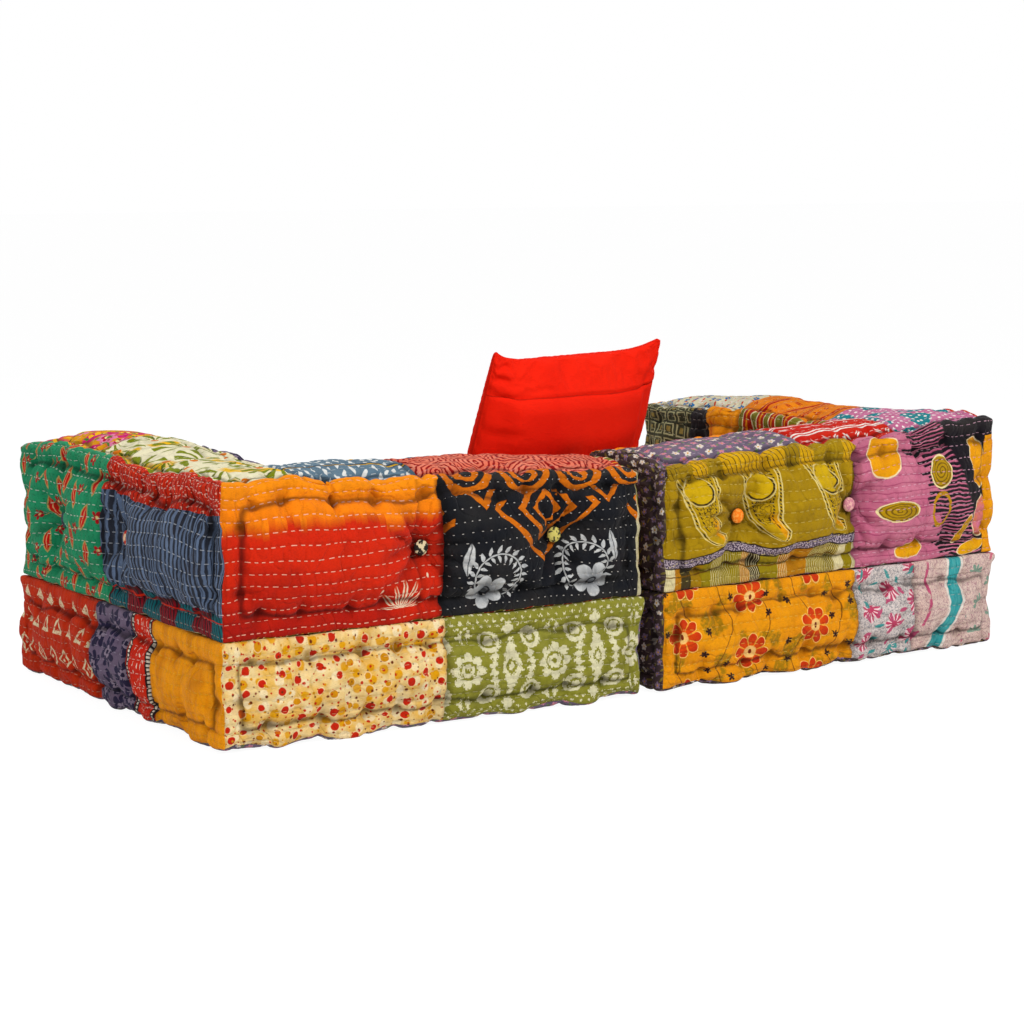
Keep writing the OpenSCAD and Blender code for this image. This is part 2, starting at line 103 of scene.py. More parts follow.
# Stitched rolls run round every edge. A roll starts at the edge's diagonal and ends in its crease.
roll = {
    "radius": 0.0150,
    "start": math.radians(45),
    "end": math.radians(-80),
    "cells": 6,
    "cell": 0.0090,         # cloth between two points of the mesh, before it is divided once
    "fine": 0.0042,         # the same beside a crease
    "rise": 0.0125,
    "square": 1.00,         # how far a roll's outer side is rounded off
    "joined": 0.42,         # the same where the mattress and the bolster are laced together
    "joinedReach": 0.022,   # how far from that edge the two press on each other
    "joinedFrom": 0.47,     # and where along the mattress that starts
    "joinedFade": 0.03,
    "recover": 0.0085,      # the panel's shoulder, from the crease to its flat
    "share": 0.62,          # how much of its full depth a crease keeps when the filling presses on it
    "uneven": 0.60,         # and how much of that it loses where the filling presses most
    "corner": 0.014,        # rounding of a panel's creases at its corners
    "sway": 0.0052,         # how far a crease wanders
    "astray": 0.0026,       # and how far an edge does
    "astrayReach": 0.018,   # from the edge to where the panel is even again
    "fat": 0.0060,          # how unevenly a roll is filled
    "fatEase": 0.85,        # how much less so where the two cushions are joined
    "meet": 0.0050,         # how far a mattress's roll swells up beside the bolster
    "meetIn": 0.002,        # where it does so most, and how far round that
    "meetWide": 0.009,
    "meetDown": 0.012,
    "plump": 0.0140,        # how much fuller the cloth stands between its tufts than the solids do
    "deepest": 0.0168,      # the cloth never comes nearer to its filling than this allows
    "knotPitch": 0.066,     # between the hand stitches that pinch a roll
    "knotDeep": 0.0100,
    "knotWide": 0.0080,
    "knotReach": 0.018,     # how far a pinch runs on into the panel
    "knotEase": 0.92,       # how much of it is lost where the two cushions are joined
    "gatherPitch": 0.0140,  # between the small gathers along a crease
    "gatherDeep": 0.0016,
    "gatherWide": 0.0030,
    "gatherReach": 0.020,
    "shadeWide": 0.0030,    # of the shade in a crease
    # worn: the edge is painted paler, partly as rubbed wear and partly as a painted highlight on the roll
    "worn": 0.016,          # how far in from an edge the cloth is rubbed
}
rollWide = roll["radius"] * (roll["start"] - roll["end"])


def rollIn(angle):
    return roll["radius"] * (1 - np.sin(angle))


def rollSink(angle):
    return roll["radius"] * (1 - np.cos(angle))


edgeIn, creaseIn = rollIn(roll["start"]), rollIn(roll["end"])

tufts = {
    "deep": 0.026,
    "reach": 0.052,
    "core": 0.026,
    "fromCorner": 0.315,    # on the bolster, from the outer corner to the first
    "pitch": 0.225,         # on the bolster, between the two of each leg
    "seatFirst": 0.100,
    "seatPitch": 0.155,
    "folds": 8,
    "foldDeep": 0.0105,
    "foldFrom": 0.038,      # where a fold is deepest, and half its length
    "foldLong": 0.029,
    "bottom": 0.021,
    "still": 0.046,         # round a tuft the cloth stays where the solids have it
    "pin": 0.020,           # and this much of it is pinned to its button
}
legRows = [bolsterSide - tufts["fromCorner"] - tufts["pitch"], bolsterSide - tufts["fromCorner"]]
seatRows = [tufts["seatFirst"] + n * tufts["seatPitch"] for n in range(3)]
seatTufts = [(seatRows[i], seatRows[j]) for i, j in ((0, 0), (2, 0), (1, 1), (0, 2), (2, 2))]


# Where a bolster is stuffed higher or lower than its even form: x, y, reach and height in metres
stuffed = {
    "left": ((0.69, 0.69, 0.09, 0.004), (0.0, 0.60, 0.16, -0.007), (0.62, 0.20, 0.20, 0.020)),
    "right": ((0.69, 0.69, 0.11, 0.014), (0.0, 0.60, 0.16, -0.006), (0.60, 0.30, 0.20, 0.007)),
    "wave": 0.0030,
}


def hump(value, wide):
    # 1 at nothing, falling off to both sides
    return np.exp(-(value / wide) ** 2)


def within(value, low, high, fade):
    # 1 between two places, fading towards both
    return np.clip((value - low) / fade, 0, 1) * np.clip((high - value) / fade, 0, 1)


def domeOver(value, low, high):
    # 1 in the middle of a panel that runs from low to high, and 0 at its ends
    across = (2 * value - low - high) / (high - low)
    return np.clip(1 - across * across, 0, 1)


def pitAt(away):
    wide = hump(away, tufts["reach"])
    core = hump(away, tufts["core"])
    return tufts["deep"] * (0.5 * wide + 0.5 * core)


def crownAt(x, y):
    # how far the seat stands proud where no bolster lies on it
    return sofa["seatCrown"] * (domeOver(x, creaseIn, bareSeat) * domeOver(y, creaseIn, bareSeat)) ** 0.7


def softLeast(a, b, reach):
    near = np.maximum(reach - np.abs(a - b), 0) / reach
    return np.minimum(a, b) - near * near * reach / 4


def ripple(points, size, seed, waves=9):
    # smooth seeded lumps of about the given size, mostly between -1 and 1
    chance = np.random.default_rng(seed)
    total = np.zeros(len(points))
    for _ in range(waves):
        way = chance.normal(size=3)
        way *= chance.uniform(0.7, 1.4) * 2 * math.pi / size / np.linalg.norm(way)
        total += np.sin(points @ way + chance.uniform(0, 2 * math.pi))
    return total * math.sqrt(2 / waves) * 0.7


class Axis:
    # one direction of a padded block: cloth length against real place, roll by roll
    def __init__(self, length, notch=None):
        arcs = np.linspace(roll["start"], roll["end"], 17)
        along = np.linspace(0, rollWide, 17)
        panels = [length - 2 * creaseIn]
        if notch:
            panels = [notch + edgeIn - creaseIn, length - notch - 2 * creaseIn]
        cloth, place = [along], [rollIn(arcs)]
        self.breaks, self.cells = [0, rollWide], [roll["cells"]]
        for n, panel in enumerate(panels):
            self.addStretch(panel)
            if n + 1 < len(panels):     # the roll along the inner edge of an L
                self.notch = self.breaks[-1]
                cloth.append(self.notch + along)
                place.append(notch + rollIn(arcs))
                self.breaks.append(self.notch + rollWide)
                self.cells.append(roll["cells"])
        cloth.append(self.breaks[-1] + along)
        place.append(length - rollIn(arcs[::-1]))
        self.breaks.append(self.breaks[-1] + rollWide)
        self.cells.append(roll["cells"])
        self.total = self.breaks[-1]
        self.cloth, self.place = np.concatenate(cloth), np.concatenate(place)

    def addStretch(self, panel):
        # fine cells beside the two creases of a panel and wider ones between
        rise = roll["rise"]
        for wide, cell in ((rise, roll["fine"]), (panel - 2 * rise, roll["cell"]), (rise, roll["fine"])):
            self.breaks.append(self.breaks[-1] + wide)
            self.cells.append(max(1, round(wide / cell)))

    def real(self, cloth):
        return np.interp(cloth, self.cloth, self.place)

    def clothAt(self, place):
        return np.interp(place, self.place, self.cloth)


def cutAcross(form, axis, at):
    normal = [0, 0, 0]
    normal[axis] = 1
    place = [n * at for n in normal]
    everything = form.verts[:] + form.edges[:] + form.faces[:]
    bmesh.ops.bisect_plane(form, geom=everything, plane_co=place, plane_no=normal, dist=tiny)


def divideAlong(form, axis, low, high, cells):
    picked = []
    for edge in form.edges:
        a, b = sorted((edge.verts[0].co[axis], edge.verts[1].co[axis]))
        if b - a > tiny and a > low - tiny and b < high + tiny:
            picked.append(edge)
    bmesh.ops.subdivide_edges(form, edges=picked, cuts=cells - 1, use_grid_fill=True)


def paddedCage(name, axes, isL):
    # a block, or an L, of flat cloth cells, with its cloth lengths as coordinates
    form = bmesh.new()
    bmesh.ops.create_grid(form, x_segments=1, y_segments=1, size=0.5)
    bmesh.ops.translate(form, verts=form.verts, vec=(0.5, 0.5, 0))
    bmesh.ops.scale(form, verts=form.verts, vec=(axes[0].total, axes[1].total, 1))
    for n in (0, 1):
        for at in axes[n].breaks[1:-1]:
            cutAcross(form, n, at)
    if isL:
        inNotch = []
        for face in form.faces:
            middle = face.calc_center_median()
            if middle.x < axes[0].notch and middle.y < axes[1].notch:
                inNotch.append(face)
        bmesh.ops.delete(form, geom=inNotch, context="FACES")
    raised = bmesh.ops.extrude_face_region(form, geom=form.faces[:])["geom"]
    corners = [item for item in raised if isinstance(item, bmesh.types.BMVert)]
    bmesh.ops.translate(form, verts=corners, vec=(0, 0, axes[2].total))
    for at in axes[2].breaks[1:-1]:
        cutAcross(form, 2, at)
    for n, axis in enumerate(axes):
        for low, high, cells in zip(axis.breaks, axis.breaks[1:], axis.cells):
            divideAlong(form, n, low, high, cells)
    bmesh.ops.recalc_face_normals(form, faces=form.faces)
    return meshOf(form, name)


def meshOf(form, name):
    mesh = bpy.data.meshes.new(name)
    form.to_mesh(mesh)
    form.free()
    return mesh


def readAll(items, field, kind=np.int32):
    # one number for each item
    values = np.zeros(len(items), kind)
    items.foreach_get(field, values)
    return values


def readVectors(items, field):
    values = np.zeros(len(items) * 3, np.float32)
    items.foreach_get(field, values)
    return values.reshape(-1, 3)


def readPoints(mesh):
    return readVectors(mesh.vertices, "co").astype(float)


def writePoints(mesh, points):
    mesh.vertices.foreach_set("co", points.astype(np.float32).ravel())
    mesh.update()


def readNormals(mesh):
    return readVectors(mesh.vertex_normals, "vector").astype(float)


def keepWhole(mesh, name, values):
    # a whole number for each face, which stays with the mesh when it is divided
    mesh.attributes.new(name, "INT", "FACE").data.foreach_set("value", values)


def keepShare(mesh, name, values):
    mesh.attributes.new(name, "FLOAT", "POINT").data.foreach_set("value", values.astype(np.float32))


def keepPlaces(mesh, name, values):
    kept = mesh.attributes.new(name, "FLOAT_VECTOR", "POINT")
    kept.data.foreach_set("vector", values.astype(np.float32).ravel())


def keptPlaces(mesh, name):
    return readVectors(mesh.attributes[name].data, "vector").astype(float)


def addMap(mesh, name, values):
    mesh.uv_layers.new(name=name).data.foreach_set("uv", values.astype(np.float32).ravel())


panelNames = ("base", "top", "inner", "arm", "front", "rear", "armInside", "backInside")


# What makes a cushion uneven: the size of each kind of seeded lump, and its place in the seeds
lumpy = {
    "sway": (0.11, 3),
    "press": (0.15, 9),
    "roll": (0.10, 0),
    "stuffing": (0.26, 4),
    "meet": (0.09, 2),
    "edge": (0.080, 20),
    "rows": (0.19, 5),
    "rowsFine": (0.06, 6),
    "crumple": (0.021, 7),
    "crumpled": (0.11, 8),
}


class Cushion:
    # what a seat and a bolster share: where each point of the cloth lies on its padded block
    def __init__(self, kind, right, seed):
        self.kind, self.right, self.seed = kind, right, seed
        self.isL = kind == "bolster"
        self.handed = "right" if right else "left"
        self.name = f"{self.handed}_{kind}_cloth"
        if self.isL:
            side, high, notch = bolsterSide, sofa["bolsterHigh"], legInside
        else:
            side, high, notch = sofa["side"], sofa["seatHigh"], None
        self.side, self.high = side, high
        self.axes = [Axis(side, notch), Axis(side, notch), Axis(high)]
        self.mesh = paddedCage(self.name, self.axes, self.isL)
        self.cloth = readPoints(self.mesh)
        self.namePanels()

    def uneven(self, kind, points=None, step=0, waves=9):
        size, place = lumpy[kind]
        return ripple(self.places if points is None else points, size, self.seed + place + step, waves)

    def edges(self):
        # distance to each side of the block, in cloth
        found = []
        for n in range(3):
            found.append(np.minimum(self.cloth[:, n], self.axes[n].total - self.cloth[:, n]))
        if self.isL:
            found.append(np.max([self.cloth[:, n] - self.axes[n].notch for n in (0, 1)], 0))
        return np.stack(found, 1)

    def measure(self):
        self.places = np.stack([axis.real(self.cloth[:, n]) for n, axis in enumerate(self.axes)], 1)
        self.away = self.edges()
        ranked = np.sort(self.away, 1)
        self.outer = ranked[:, 1]
        self.inner = softLeast(ranked[:, 1], ranked[:, 2], roll["corner"])
        if self.isL:
            self.inner = softLeast(self.inner, ranked[:, 3], roll["corner"])
        self.third = ranked[:, 2]
        sway = roll["sway"] * self.uneven("sway")
        self.inner = self.inner + sway * np.clip(self.inner / rollWide, 0, 1)

    def onFaces(self):
        # which points lie on each side of the block
        faces = {}
        for n, (low, high) in enumerate((("inner", "arm"), ("front", "rear"), ("base", "top"))):
            faces[low] = self.cloth[:, n] < tiny
            faces[high] = self.cloth[:, n] > self.axes[n].total - tiny
        if self.isL:
            nx, ny = (self.axes[n].notch for n in (0, 1))
            x, y = self.cloth[:, 0], self.cloth[:, 1]
            faces["armInside"] = (np.abs(x - nx) < tiny) & (y < ny + tiny)
            faces["backInside"] = (np.abs(y - ny) < tiny) & (x < nx + tiny)
        return faces

    def sink(self):
        # depth of the cloth under the flat of its panel: the roll, its crease and the rise after it
        outerAngle = roll["start"] - self.outer / roll["radius"]
        innerAngle = np.maximum(roll["start"] - self.inner / roll["radius"], roll["end"])
        square = roll["square"] + (roll["joined"] - roll["square"]) * self.joined()
        outside = np.where(outerAngle > 0, rollSink(outerAngle), 0) * square
        inside = np.where(innerAngle < 0, rollSink(innerAngle), 0)
        shoulder = np.clip(1 - (self.inner - rollWide) / roll["recover"], 0, 1)
        inside *= np.where(self.inner > rollWide, 1 - np.sqrt(1 - shoulder ** 2), 1)
        pressed = np.clip(0.5 + 0.6 * self.uneven("press"), 0, 1)
        inside *= roll["share"] * (1 - roll["uneven"] * pressed)
        return np.maximum(outside, inside)

    def joined(self):
        # 1 where the mattress and the bolster press on each other, at the edge between them
        x, y, z = self.places.T
        if self.isL:
            return hump(z, roll["joinedReach"])
        under = np.clip((np.maximum(x, y) - roll["joinedFrom"]) / roll["joinedFade"], 0, 1)
        return under * hump(self.high - z, roll["joinedReach"])

    def rollDepth(self):
        lumps = 0.5 + 0.5 * self.uneven("roll")
        onRoll = np.clip(1 - self.inner / rollWide, 0, 1) ** 0.7
        onRoll = onRoll * (1 - roll["fatEase"] * self.joined())
        return self.sink() + roll["fat"] * lumps * onRoll

    def swell(self, face):
        # how far a side stands proud of its flat, less its tufts
        x, y, z = self.places.T
        along = x if face in ("front", "rear", "backInside") else y
        rise = domeOver(z, creaseIn, self.high - creaseIn) ** 0.7
        if self.kind == "seat":
            belly = sofa["innerBelly"] if face == "inner" else sofa["seatBelly"] + 0.25 * roll["plump"]
            return belly * rise * domeOver(along, creaseIn, self.side - creaseIn) ** 0.7
        if face in ("inner", "front"):
            return 0 * x
        end = legInside if face.endswith("Inside") else self.side - creaseIn
        full = roll["plump"] * (face in ("arm", "rear"))
        for row in legRows:
            full = full * (1 - hump(np.hypot(along - row, z - self.high / 2), tufts["still"]))
        out = (sofa["bolsterBelly"] + full) * rise * domeOver(along, creaseIn, end) ** 0.5
        for row in legRows:
            out = out - pitAt(np.hypot(along - row, z - self.high / 2))
        return out

    def lift(self, up):
        # how far the top stands proud of its flat, or how far the base lies above the floor
        x, y, _ = self.places.T
        if self.kind == "seat":
            pits = np.max([pitAt(np.hypot(x - a, y - b)) for a, b in seatTufts], 0)
            return crownAt(x, y) - pits if up else pits - sofa["floorCut"]
        if not up:
            return 0 * x
        away = np.maximum(1 - x / self.side, 1 - y / self.side)
        leg = self.side - sofa["bolsterThick"] + creaseIn
        over = [domeOver(place, leg, self.side - creaseIn) for place in (x, y)]
        crown = sofa["bolsterCrown"] * np.maximum(*over)
        up = sofa["cornerRise"] - (sofa["cornerRise"] + sofa["endDroop"]) * away + crown
        for a, b, reach, rise in stuffed[self.handed]:
            up = up + rise * np.exp(-((x - a) ** 2 + (y - b) ** 2) / reach ** 2)
        return up + stuffed["wave"] * self.uneven("stuffing")

    def fill(self):
        # moves the flat cells out to the padded form
        self.measure()
        faces = self.onFaces()
        depth = self.rollDepth()
        points = self.places.copy()
        for face, on in faces.items():
            if face in ("base", "top"):
                continue
            axis = 1 if face in ("front", "rear", "backInside") else 0
            out = self.swell(face) - depth
            if face in ("arm", "rear"):
                moved = self.places[:, axis] + edgeIn + out
            elif face in ("inner", "front"):
                moved = -out
            else:
                moved = self.places[:, axis] - edgeIn - out
            points[on, axis] = moved[on]
        up = self.lift(True)
        ramp = np.clip(2 * self.places[:, 2] / self.high - 1, 0, 1)
        points[:, 2] += up * ramp
        if self.kind == "seat":     # the mattress's roll swells up beside the bolster that stands on it
            out = np.minimum(self.axes[0].total - self.cloth[:, 0], self.axes[1].total - self.cloth[:, 1])
            down = self.axes[2].total - self.cloth[:, 2]
            near = np.exp(-((out - roll["meetIn"]) / roll["meetWide"]) ** 2 - (down / roll["meetDown"]) ** 2)
            up = up + roll["meet"] * near * (0.75 + 0.25 * self.uneven("meet"))
        top, base = faces["top"], faces["base"]
        points[top, 2] = (self.places[:, 2] + edgeIn - depth + up)[top]
        points[base, 2] = (depth + self.lift(False))[base]
        loose = roll["astray"] * hump(self.outer, roll["astrayReach"]) * (1 - self.joined())
        for n in range(3):      # no edge is quite straight
            points[:, n] += loose * self.uneven("edge", step=n)
        if self.isL:
            points += np.array([sofa["bolsterIn"], sofa["bolsterIn"], bolsterFoot])
        writePoints(self.mesh, points)

    def namePanels(self):
        # numbers each face by the panel that it belongs to, and keeps the cloth's lengths on the points
        faces = self.mesh.polygons
        self.middles = readVectors(faces, "center")
        nx, ny, nz = readVectors(faces, "normal").T
        x, y, _ = self.middles.T
        tests = {
            "base": nz < -0.5, "top": nz > 0.5, "arm": nx > 0.5, "rear": ny > 0.5,
            "inner": (nx < -0.5) & (x < tiny), "armInside": (nx < -0.5) & (x > tiny),
            "front": (ny < -0.5) & (y < tiny), "backInside": (ny < -0.5) & (y > tiny),
        }
        self.panels = np.zeros(len(faces), np.int32)
        for number, name in enumerate(panelNames):
            self.panels[tests[name]] = number
        keepWhole(self.mesh, "panel", self.panels)
        keepPlaces(self.mesh, "cloth", self.cloth)

    def planeOf(self, panel, cloth):
        # right and up on a panel as it is seen upright from outside, a top being seen from the rear
        x, y, z = cloth.T
        wide, deep = self.axes[0].total, self.axes[1].total
        if panel in ("top", "base"):
            return (x if self.right else wide - x), deep - y
        if panel == "rear":
            return (x if self.right else wide - x), z
        if panel in ("front", "backInside"):
            return (wide - x if self.right else x), z
        if panel == "arm":
            return (deep - y if self.right else y), z
        return (y if self.right else deep - y), z

    def wrappedPlane(self, panel, home, cloth):
        # the same for a patch that comes over the rim from the side named home
        u, v = self.planeOf(home, cloth)
        if home != panel:
            inward = self.inwardOf(home, cloth)
            v = v + inward if panel == "top" else v - inward
        return u, v

    def tuftsOn(self, panel):
        places = []
        if self.kind == "seat" and panel in ("top", "base"):
            places = [(a, b, 0) for a, b in seatTufts]
        elif self.isL and panel in ("rear", "backInside"):
            places = [(row, 0, self.high / 2) for row in legRows]
        elif self.isL and panel in ("arm", "armInside"):
            places = [(0, row, self.high / 2) for row in legRows]
        if not places:
            return []
        places = np.array(places, float)
        cloth = np.stack([axis.clothAt(places[:, n]) for n, axis in enumerate(self.axes)], 1)
        return np.stack(self.planeOf(panel, cloth), 1)

    def inwardOf(self, panel, cloth):
        # how far in from a side a point of the top or the base lies
        x, y = cloth[:, 0], cloth[:, 1]
        ends = {"rear": self.axes[1].total - y, "front": y, "arm": self.axes[0].total - x, "inner": x}
        if self.isL:
            nx, ny = (self.axes[n].notch for n in (0, 1))
            ends["armInside"] = np.where(y < ny, x - nx, 1)
            ends["backInside"] = np.where(x < nx, y - ny, 1)
        return ends[panel]

    def dress(self, patches, cloths):
        # lays the patches on the panels, the later ones over the earlier ones
        self.patches = []
        sides = ["rear", "front", "arm", "inner"] + ["armInside", "backInside"] * self.isL
        nearest = np.min([self.inwardOf(side, self.middles) for side in sides], 0) + tiny
        chosen = np.zeros(len(self.panels), np.int32)
        for number, name in enumerate(panelNames):
            here = self.panels == number
            if not here.any():
                continue
            u, v = self.planeOf(name, self.middles)
            for left, end, low, high, cloth in patches.get(name, patches["other"]):
                inside = here & (u > left) & (u < end) & (v > low) & (v < high)
                chosen[inside] = len(self.patches)
                self.patches.append((name, left, end, low, high, cloth))
        for number, (home, left, end, low, high, _) in enumerate(self.patches):
            if home in ("top", "base"):
                continue
            u, v = self.planeOf(home, self.middles)
            inward = self.inwardOf(home, self.middles)
            along = (u > left) & (u < end) & (inward > 0) & (v > tiny) & (inward < nearest)
            for name, reached in (("top", high > self.axes[2].total), ("base", low < tiny)):
                if reached:
                    here = self.panels == panelNames.index(name)
                    chosen[here & along & (inward < wraps[self.kind][name])] = number
        names = sorted({patch[-1] for patch in self.patches})
        for name in names:
            self.mesh.materials.append(cloths[name])
        slots = np.array([names.index(patch[-1]) for patch in self.patches])
        self.mesh.polygons.foreach_set("material_index", slots[chosen].astype(np.int32))
        keepWhole(self.mesh, "patch", chosen)

    def pins(self):
        # what the filling can't move: creases, tufts and the cloth that lies against something
        self.onPanels()
        held = hump(self.inner - rollWide, 0.006)
        held = np.maximum(held, 0.35 * (self.inner < rollWide))
        for number, panel in enumerate(panelNames):
            here = self.pointPanels == number
            if not here.any():
                continue
            u, v = self.planeOf(panel, self.cloth[here])
            for a, b in self.tuftsOn(panel):
                pinned = np.exp(-(np.hypot(u - a, v - b) / tufts["pin"]) ** 4)
                held[here] = np.maximum(held[here], pinned)
        still = self.pointPanels == panelNames.index("base")
        still |= self.pointPanels == panelNames.index("inner")
        if self.kind == "seat":
            under = self.places[:, :2].max(1) > bareSeat - 0.02
            still |= under & (self.pointPanels == panelNames.index("top"))
        held[still] = 1
        return np.clip(held, 0, 1)

    def pinches(self, pitch, wide, seed):
        # 1 at the stitches along the roll that each point lies nearest to, and 0 between them
        nearest = np.argsort(self.away, 1)[:, :2]
        axis, end = nearest.copy(), np.zeros_like(nearest)
        if self.isL:
            x, y = (self.cloth[:, n] - self.axes[n].notch for n in (0, 1))
            inNotch = nearest == 3
            axis = np.where(inNotch, (x < y)[:, None].astype(int), nearest)
            end[inNotch] = 2
        for n in range(3):
            far = self.cloth[:, n] > self.axes[n].total / 2
            end = np.where((axis == n) & (end < 2), far[:, None].astype(int), end)
        along = np.clip(3 - axis.sum(1), 0, 2)
        order = np.argsort(axis, 1)
        axis, end = np.take_along_axis(axis, order, 1), np.take_along_axis(end, order, 1)
        keys = axis[:, 0] * 27 + axis[:, 1] * 9 + end[:, 0] * 3 + end[:, 1]
        found = np.zeros(len(keys))
        for key in np.unique(keys):
            here = np.flatnonzero(keys == key)
            chance = np.random.default_rng([self.seed, int(key), seed])
            spots = np.cumsum(pitch * chance.uniform(0.65, 1.35, int(1.3 / pitch)))
            place = self.cloth[here, along[here]]
            after = np.clip(np.searchsorted(spots, place), 1, len(spots) - 1)
            gap = np.minimum(np.abs(place - spots[after - 1]), np.abs(place - spots[after]))
            found[here] = hump(gap, wide)
        mitre = np.clip((self.third - self.outer) / (0.6 * rollWide), 0, 1)
        return found * mitre

    def onPanels(self):
        # the panel of each point and its place on it
        sizes = readAll(self.mesh.polygons, "loop_total")
        panels, patches = (readAll(self.mesh.attributes[name].data, "value") for name in ("panel", "patch"))
        self.corners = readAll(self.mesh.loops, "vertex_index")
        self.cornerPanels, self.cornerPatches = np.repeat(panels, sizes), np.repeat(patches, sizes)
        self.pointPanels = np.zeros(len(self.cloth), int)
        self.pointPanels[self.corners] = self.cornerPanels

    def drawnIn(self, u, v, panel):
        # the cloth is drawn towards its tufts
        for a, b in self.tuftsOn(panel):
            pull = quilt["tuftPull"] * hump(np.hypot(u - a, v - b), tufts["reach"])
            u, v = u + (u - a) * pull, v + (v - b) * pull
        return u, v

    def rowsOf(self, v, cloth):
        # which row of stitches each point lies on, the rows being a little wavy
        wave = quilt["rowWave"] * self.uneven("rows", cloth)
        return (v + wave + 0.3 * quilt["rowWave"] * self.uneven("rowsFine", cloth)) / quilt["rowPitch"]

    def seamsOn(self, panel, u, v):
        # how deep a panel's seams lie, as a share of their full depth
        seams = 0 * u
        for name, left, end, low, high, cloth in self.patches:
            if name != panel:
                continue
            if left > rollWide:
                on = within(v, low, high, quilt["seamFade"])
                seams = np.maximum(seams, on * hump(u - left, quilt["seamWide"]))
            if cloth == "sunsetDye" and name == "rear":     # this patch is gathered at its seam
                bar = hump(u - end + quilt["bar"] + 0.0015 * np.sin(90 * v), quilt["barWide"])
                seams = np.maximum(seams, 0.75 * bar)
                seams = np.maximum(seams, 1.5 * hump(u - end, quilt["barSeam"]))
            if low > rollWide:
                on = within(u, left, end, quilt["seamFade"])
                seams = np.maximum(seams, 0.3 * on * hump(v - low, quilt["seamWide"]))
        return seams

    def foldsOn(self, panel, u, v):
        # the folds that fan out from each tuft, and the bottoms of the tufts
        folds, centres = 0 * u, 0 * u
        for a, b in self.tuftsOn(panel):
            away, turn = np.hypot(u - a, v - b), np.arctan2(v - b, u - a)
            turn = turn + 0.35 * np.sin(2 * turn + a * 40)
            fan = (0.5 + 0.5 * np.cos(tufts["folds"] * turn + 90 * a)) ** 3
            folds += fan * hump(away - tufts["foldFrom"], tufts["foldLong"])
            centres += hump(away, tufts["bottom"])
        return folds, centres

    def detail(self, mesh):
        # pinches, gathers, seams, rows and folds, on the mesh after its division, and the painted shade in
        # its creases, seams, folds and tuft bottoms
        self.mesh = mesh
        self.cloth = keptPlaces(mesh, "cloth")
        self.measure()
        self.onPanels()
        onRoll = np.clip(self.inner / rollWide, 0, 1)
        beyond = np.maximum(self.inner - rollWide, 0)
        knots = self.pinches(roll["knotPitch"], roll["knotWide"], 1)
        gathers = self.pinches(roll["gatherPitch"], roll["gatherWide"], 2)
        dent = roll["knotDeep"] * knots * (0.35 + 0.65 * onRoll ** 2) * np.exp(-beyond / roll["knotReach"])
        dent += roll["gatherDeep"] * gathers * onRoll ** 3 * np.exp(-beyond / roll["gatherReach"])
        # painted shade: the colour is darkened in each crease and at the pinches, and below in the seams,
        # folds and tuft bottoms
        paintedShade = hump(self.inner - rollWide, roll["shadeWide"])
        paintedShade += 0.5 * knots * onRoll ** 2 * np.exp(-beyond / 0.01)
        stiff = 0.3 + 0.7 * onRoll ** 2     # seams and rows show less on a tight roll
        room = np.maximum(roll["deepest"] - self.rollDepth(), 0.0003)
        for number, panel in enumerate(panelNames):
            here = self.pointPanels == number
            if not here.any():
                continue
            cloth = self.cloth[here]
            u, v = self.planeOf(panel, cloth)
            seams = self.seamsOn(panel, u, v)
            pu, pv = self.drawnIn(u, v, panel)
            rows = self.rowsOf(pv, cloth)
            channel = (0.5 - 0.5 * np.cos(2 * math.pi * rows)) ** 4
            flatCloth = np.stack([pu, 0.35 * pv, 0 * pv], 1)
            crumple = 0.5 + 0.5 * self.uneven("crumple", flatCloth, waves=14)
            crumple *= 0.5 + 0.5 * self.uneven("crumpled", cloth)
            folds, centres = self.foldsOn(panel, u, v)
            lines = quilt["seamDeep"] * seams + quilt["rowDeep"] * channel
            lines += quilt["crumple"] * np.clip(crumple, 0, 1.3)
            dent[here] += stiff[here] * lines + tufts["foldDeep"] * folds
            paintedShade[here] += 0.7 * seams + 0.35 * folds + 0.8 * centres
        dent = np.minimum(dent, room) * (1 - roll["knotEase"] * np.clip(1.4 * self.joined(), 0, 1))
        writePoints(mesh, readPoints(mesh) - readNormals(mesh) * dent[:, None])
        keepShare(mesh, "paintedShade", np.clip(paintedShade, 0, 1))
        # rubbed wear near the edges, which also paints a highlight along the rolls
        keepShare(mesh, "worn", np.clip(1 - self.outer / roll["worn"], 0, 1))
        self.layMaps()

    def layMaps(self):
        # one map draws each patch's print from its own corner, and one runs along the rows of stitches
        prints, rows = np.zeros((len(self.corners), 2)), np.zeros((len(self.corners), 2))
        origins = np.array([(patch[1], patch[3]) for patch in self.patches])
        homes = np.array([panelNames.index(patch[0]) for patch in self.patches])[self.cornerPatches]
        for number, home in sorted(set(zip(self.cornerPanels.tolist(), homes.tolist()))):
            here = (self.cornerPanels == number) & (homes == home)
            cloth = self.cloth[self.corners[here]]
            u, v = self.wrappedPlane(panelNames[number], panelNames[home], cloth)
            u, v = self.drawnIn(u, v, panelNames[home])
            prints[here] = np.stack([u, v], 1) - origins[self.cornerPatches[here]]
            rows[here] = np.stack([u, self.rowsOf(v, cloth)], 1)
        addMap(self.mesh, "print", prints)
        addMap(self.mesh, "rows", rows)


def dye(code):
    # a colour as a dyer's chart gives it, for a shader
    parts = [int(code[n:n + 2], 16) / 255 for n in (0, 2, 4)]
    return tuple([p / 12.92 if p < 0.04045 else ((p + 0.055) / 1.055) ** 2.4 for p in parts] + [1.0])


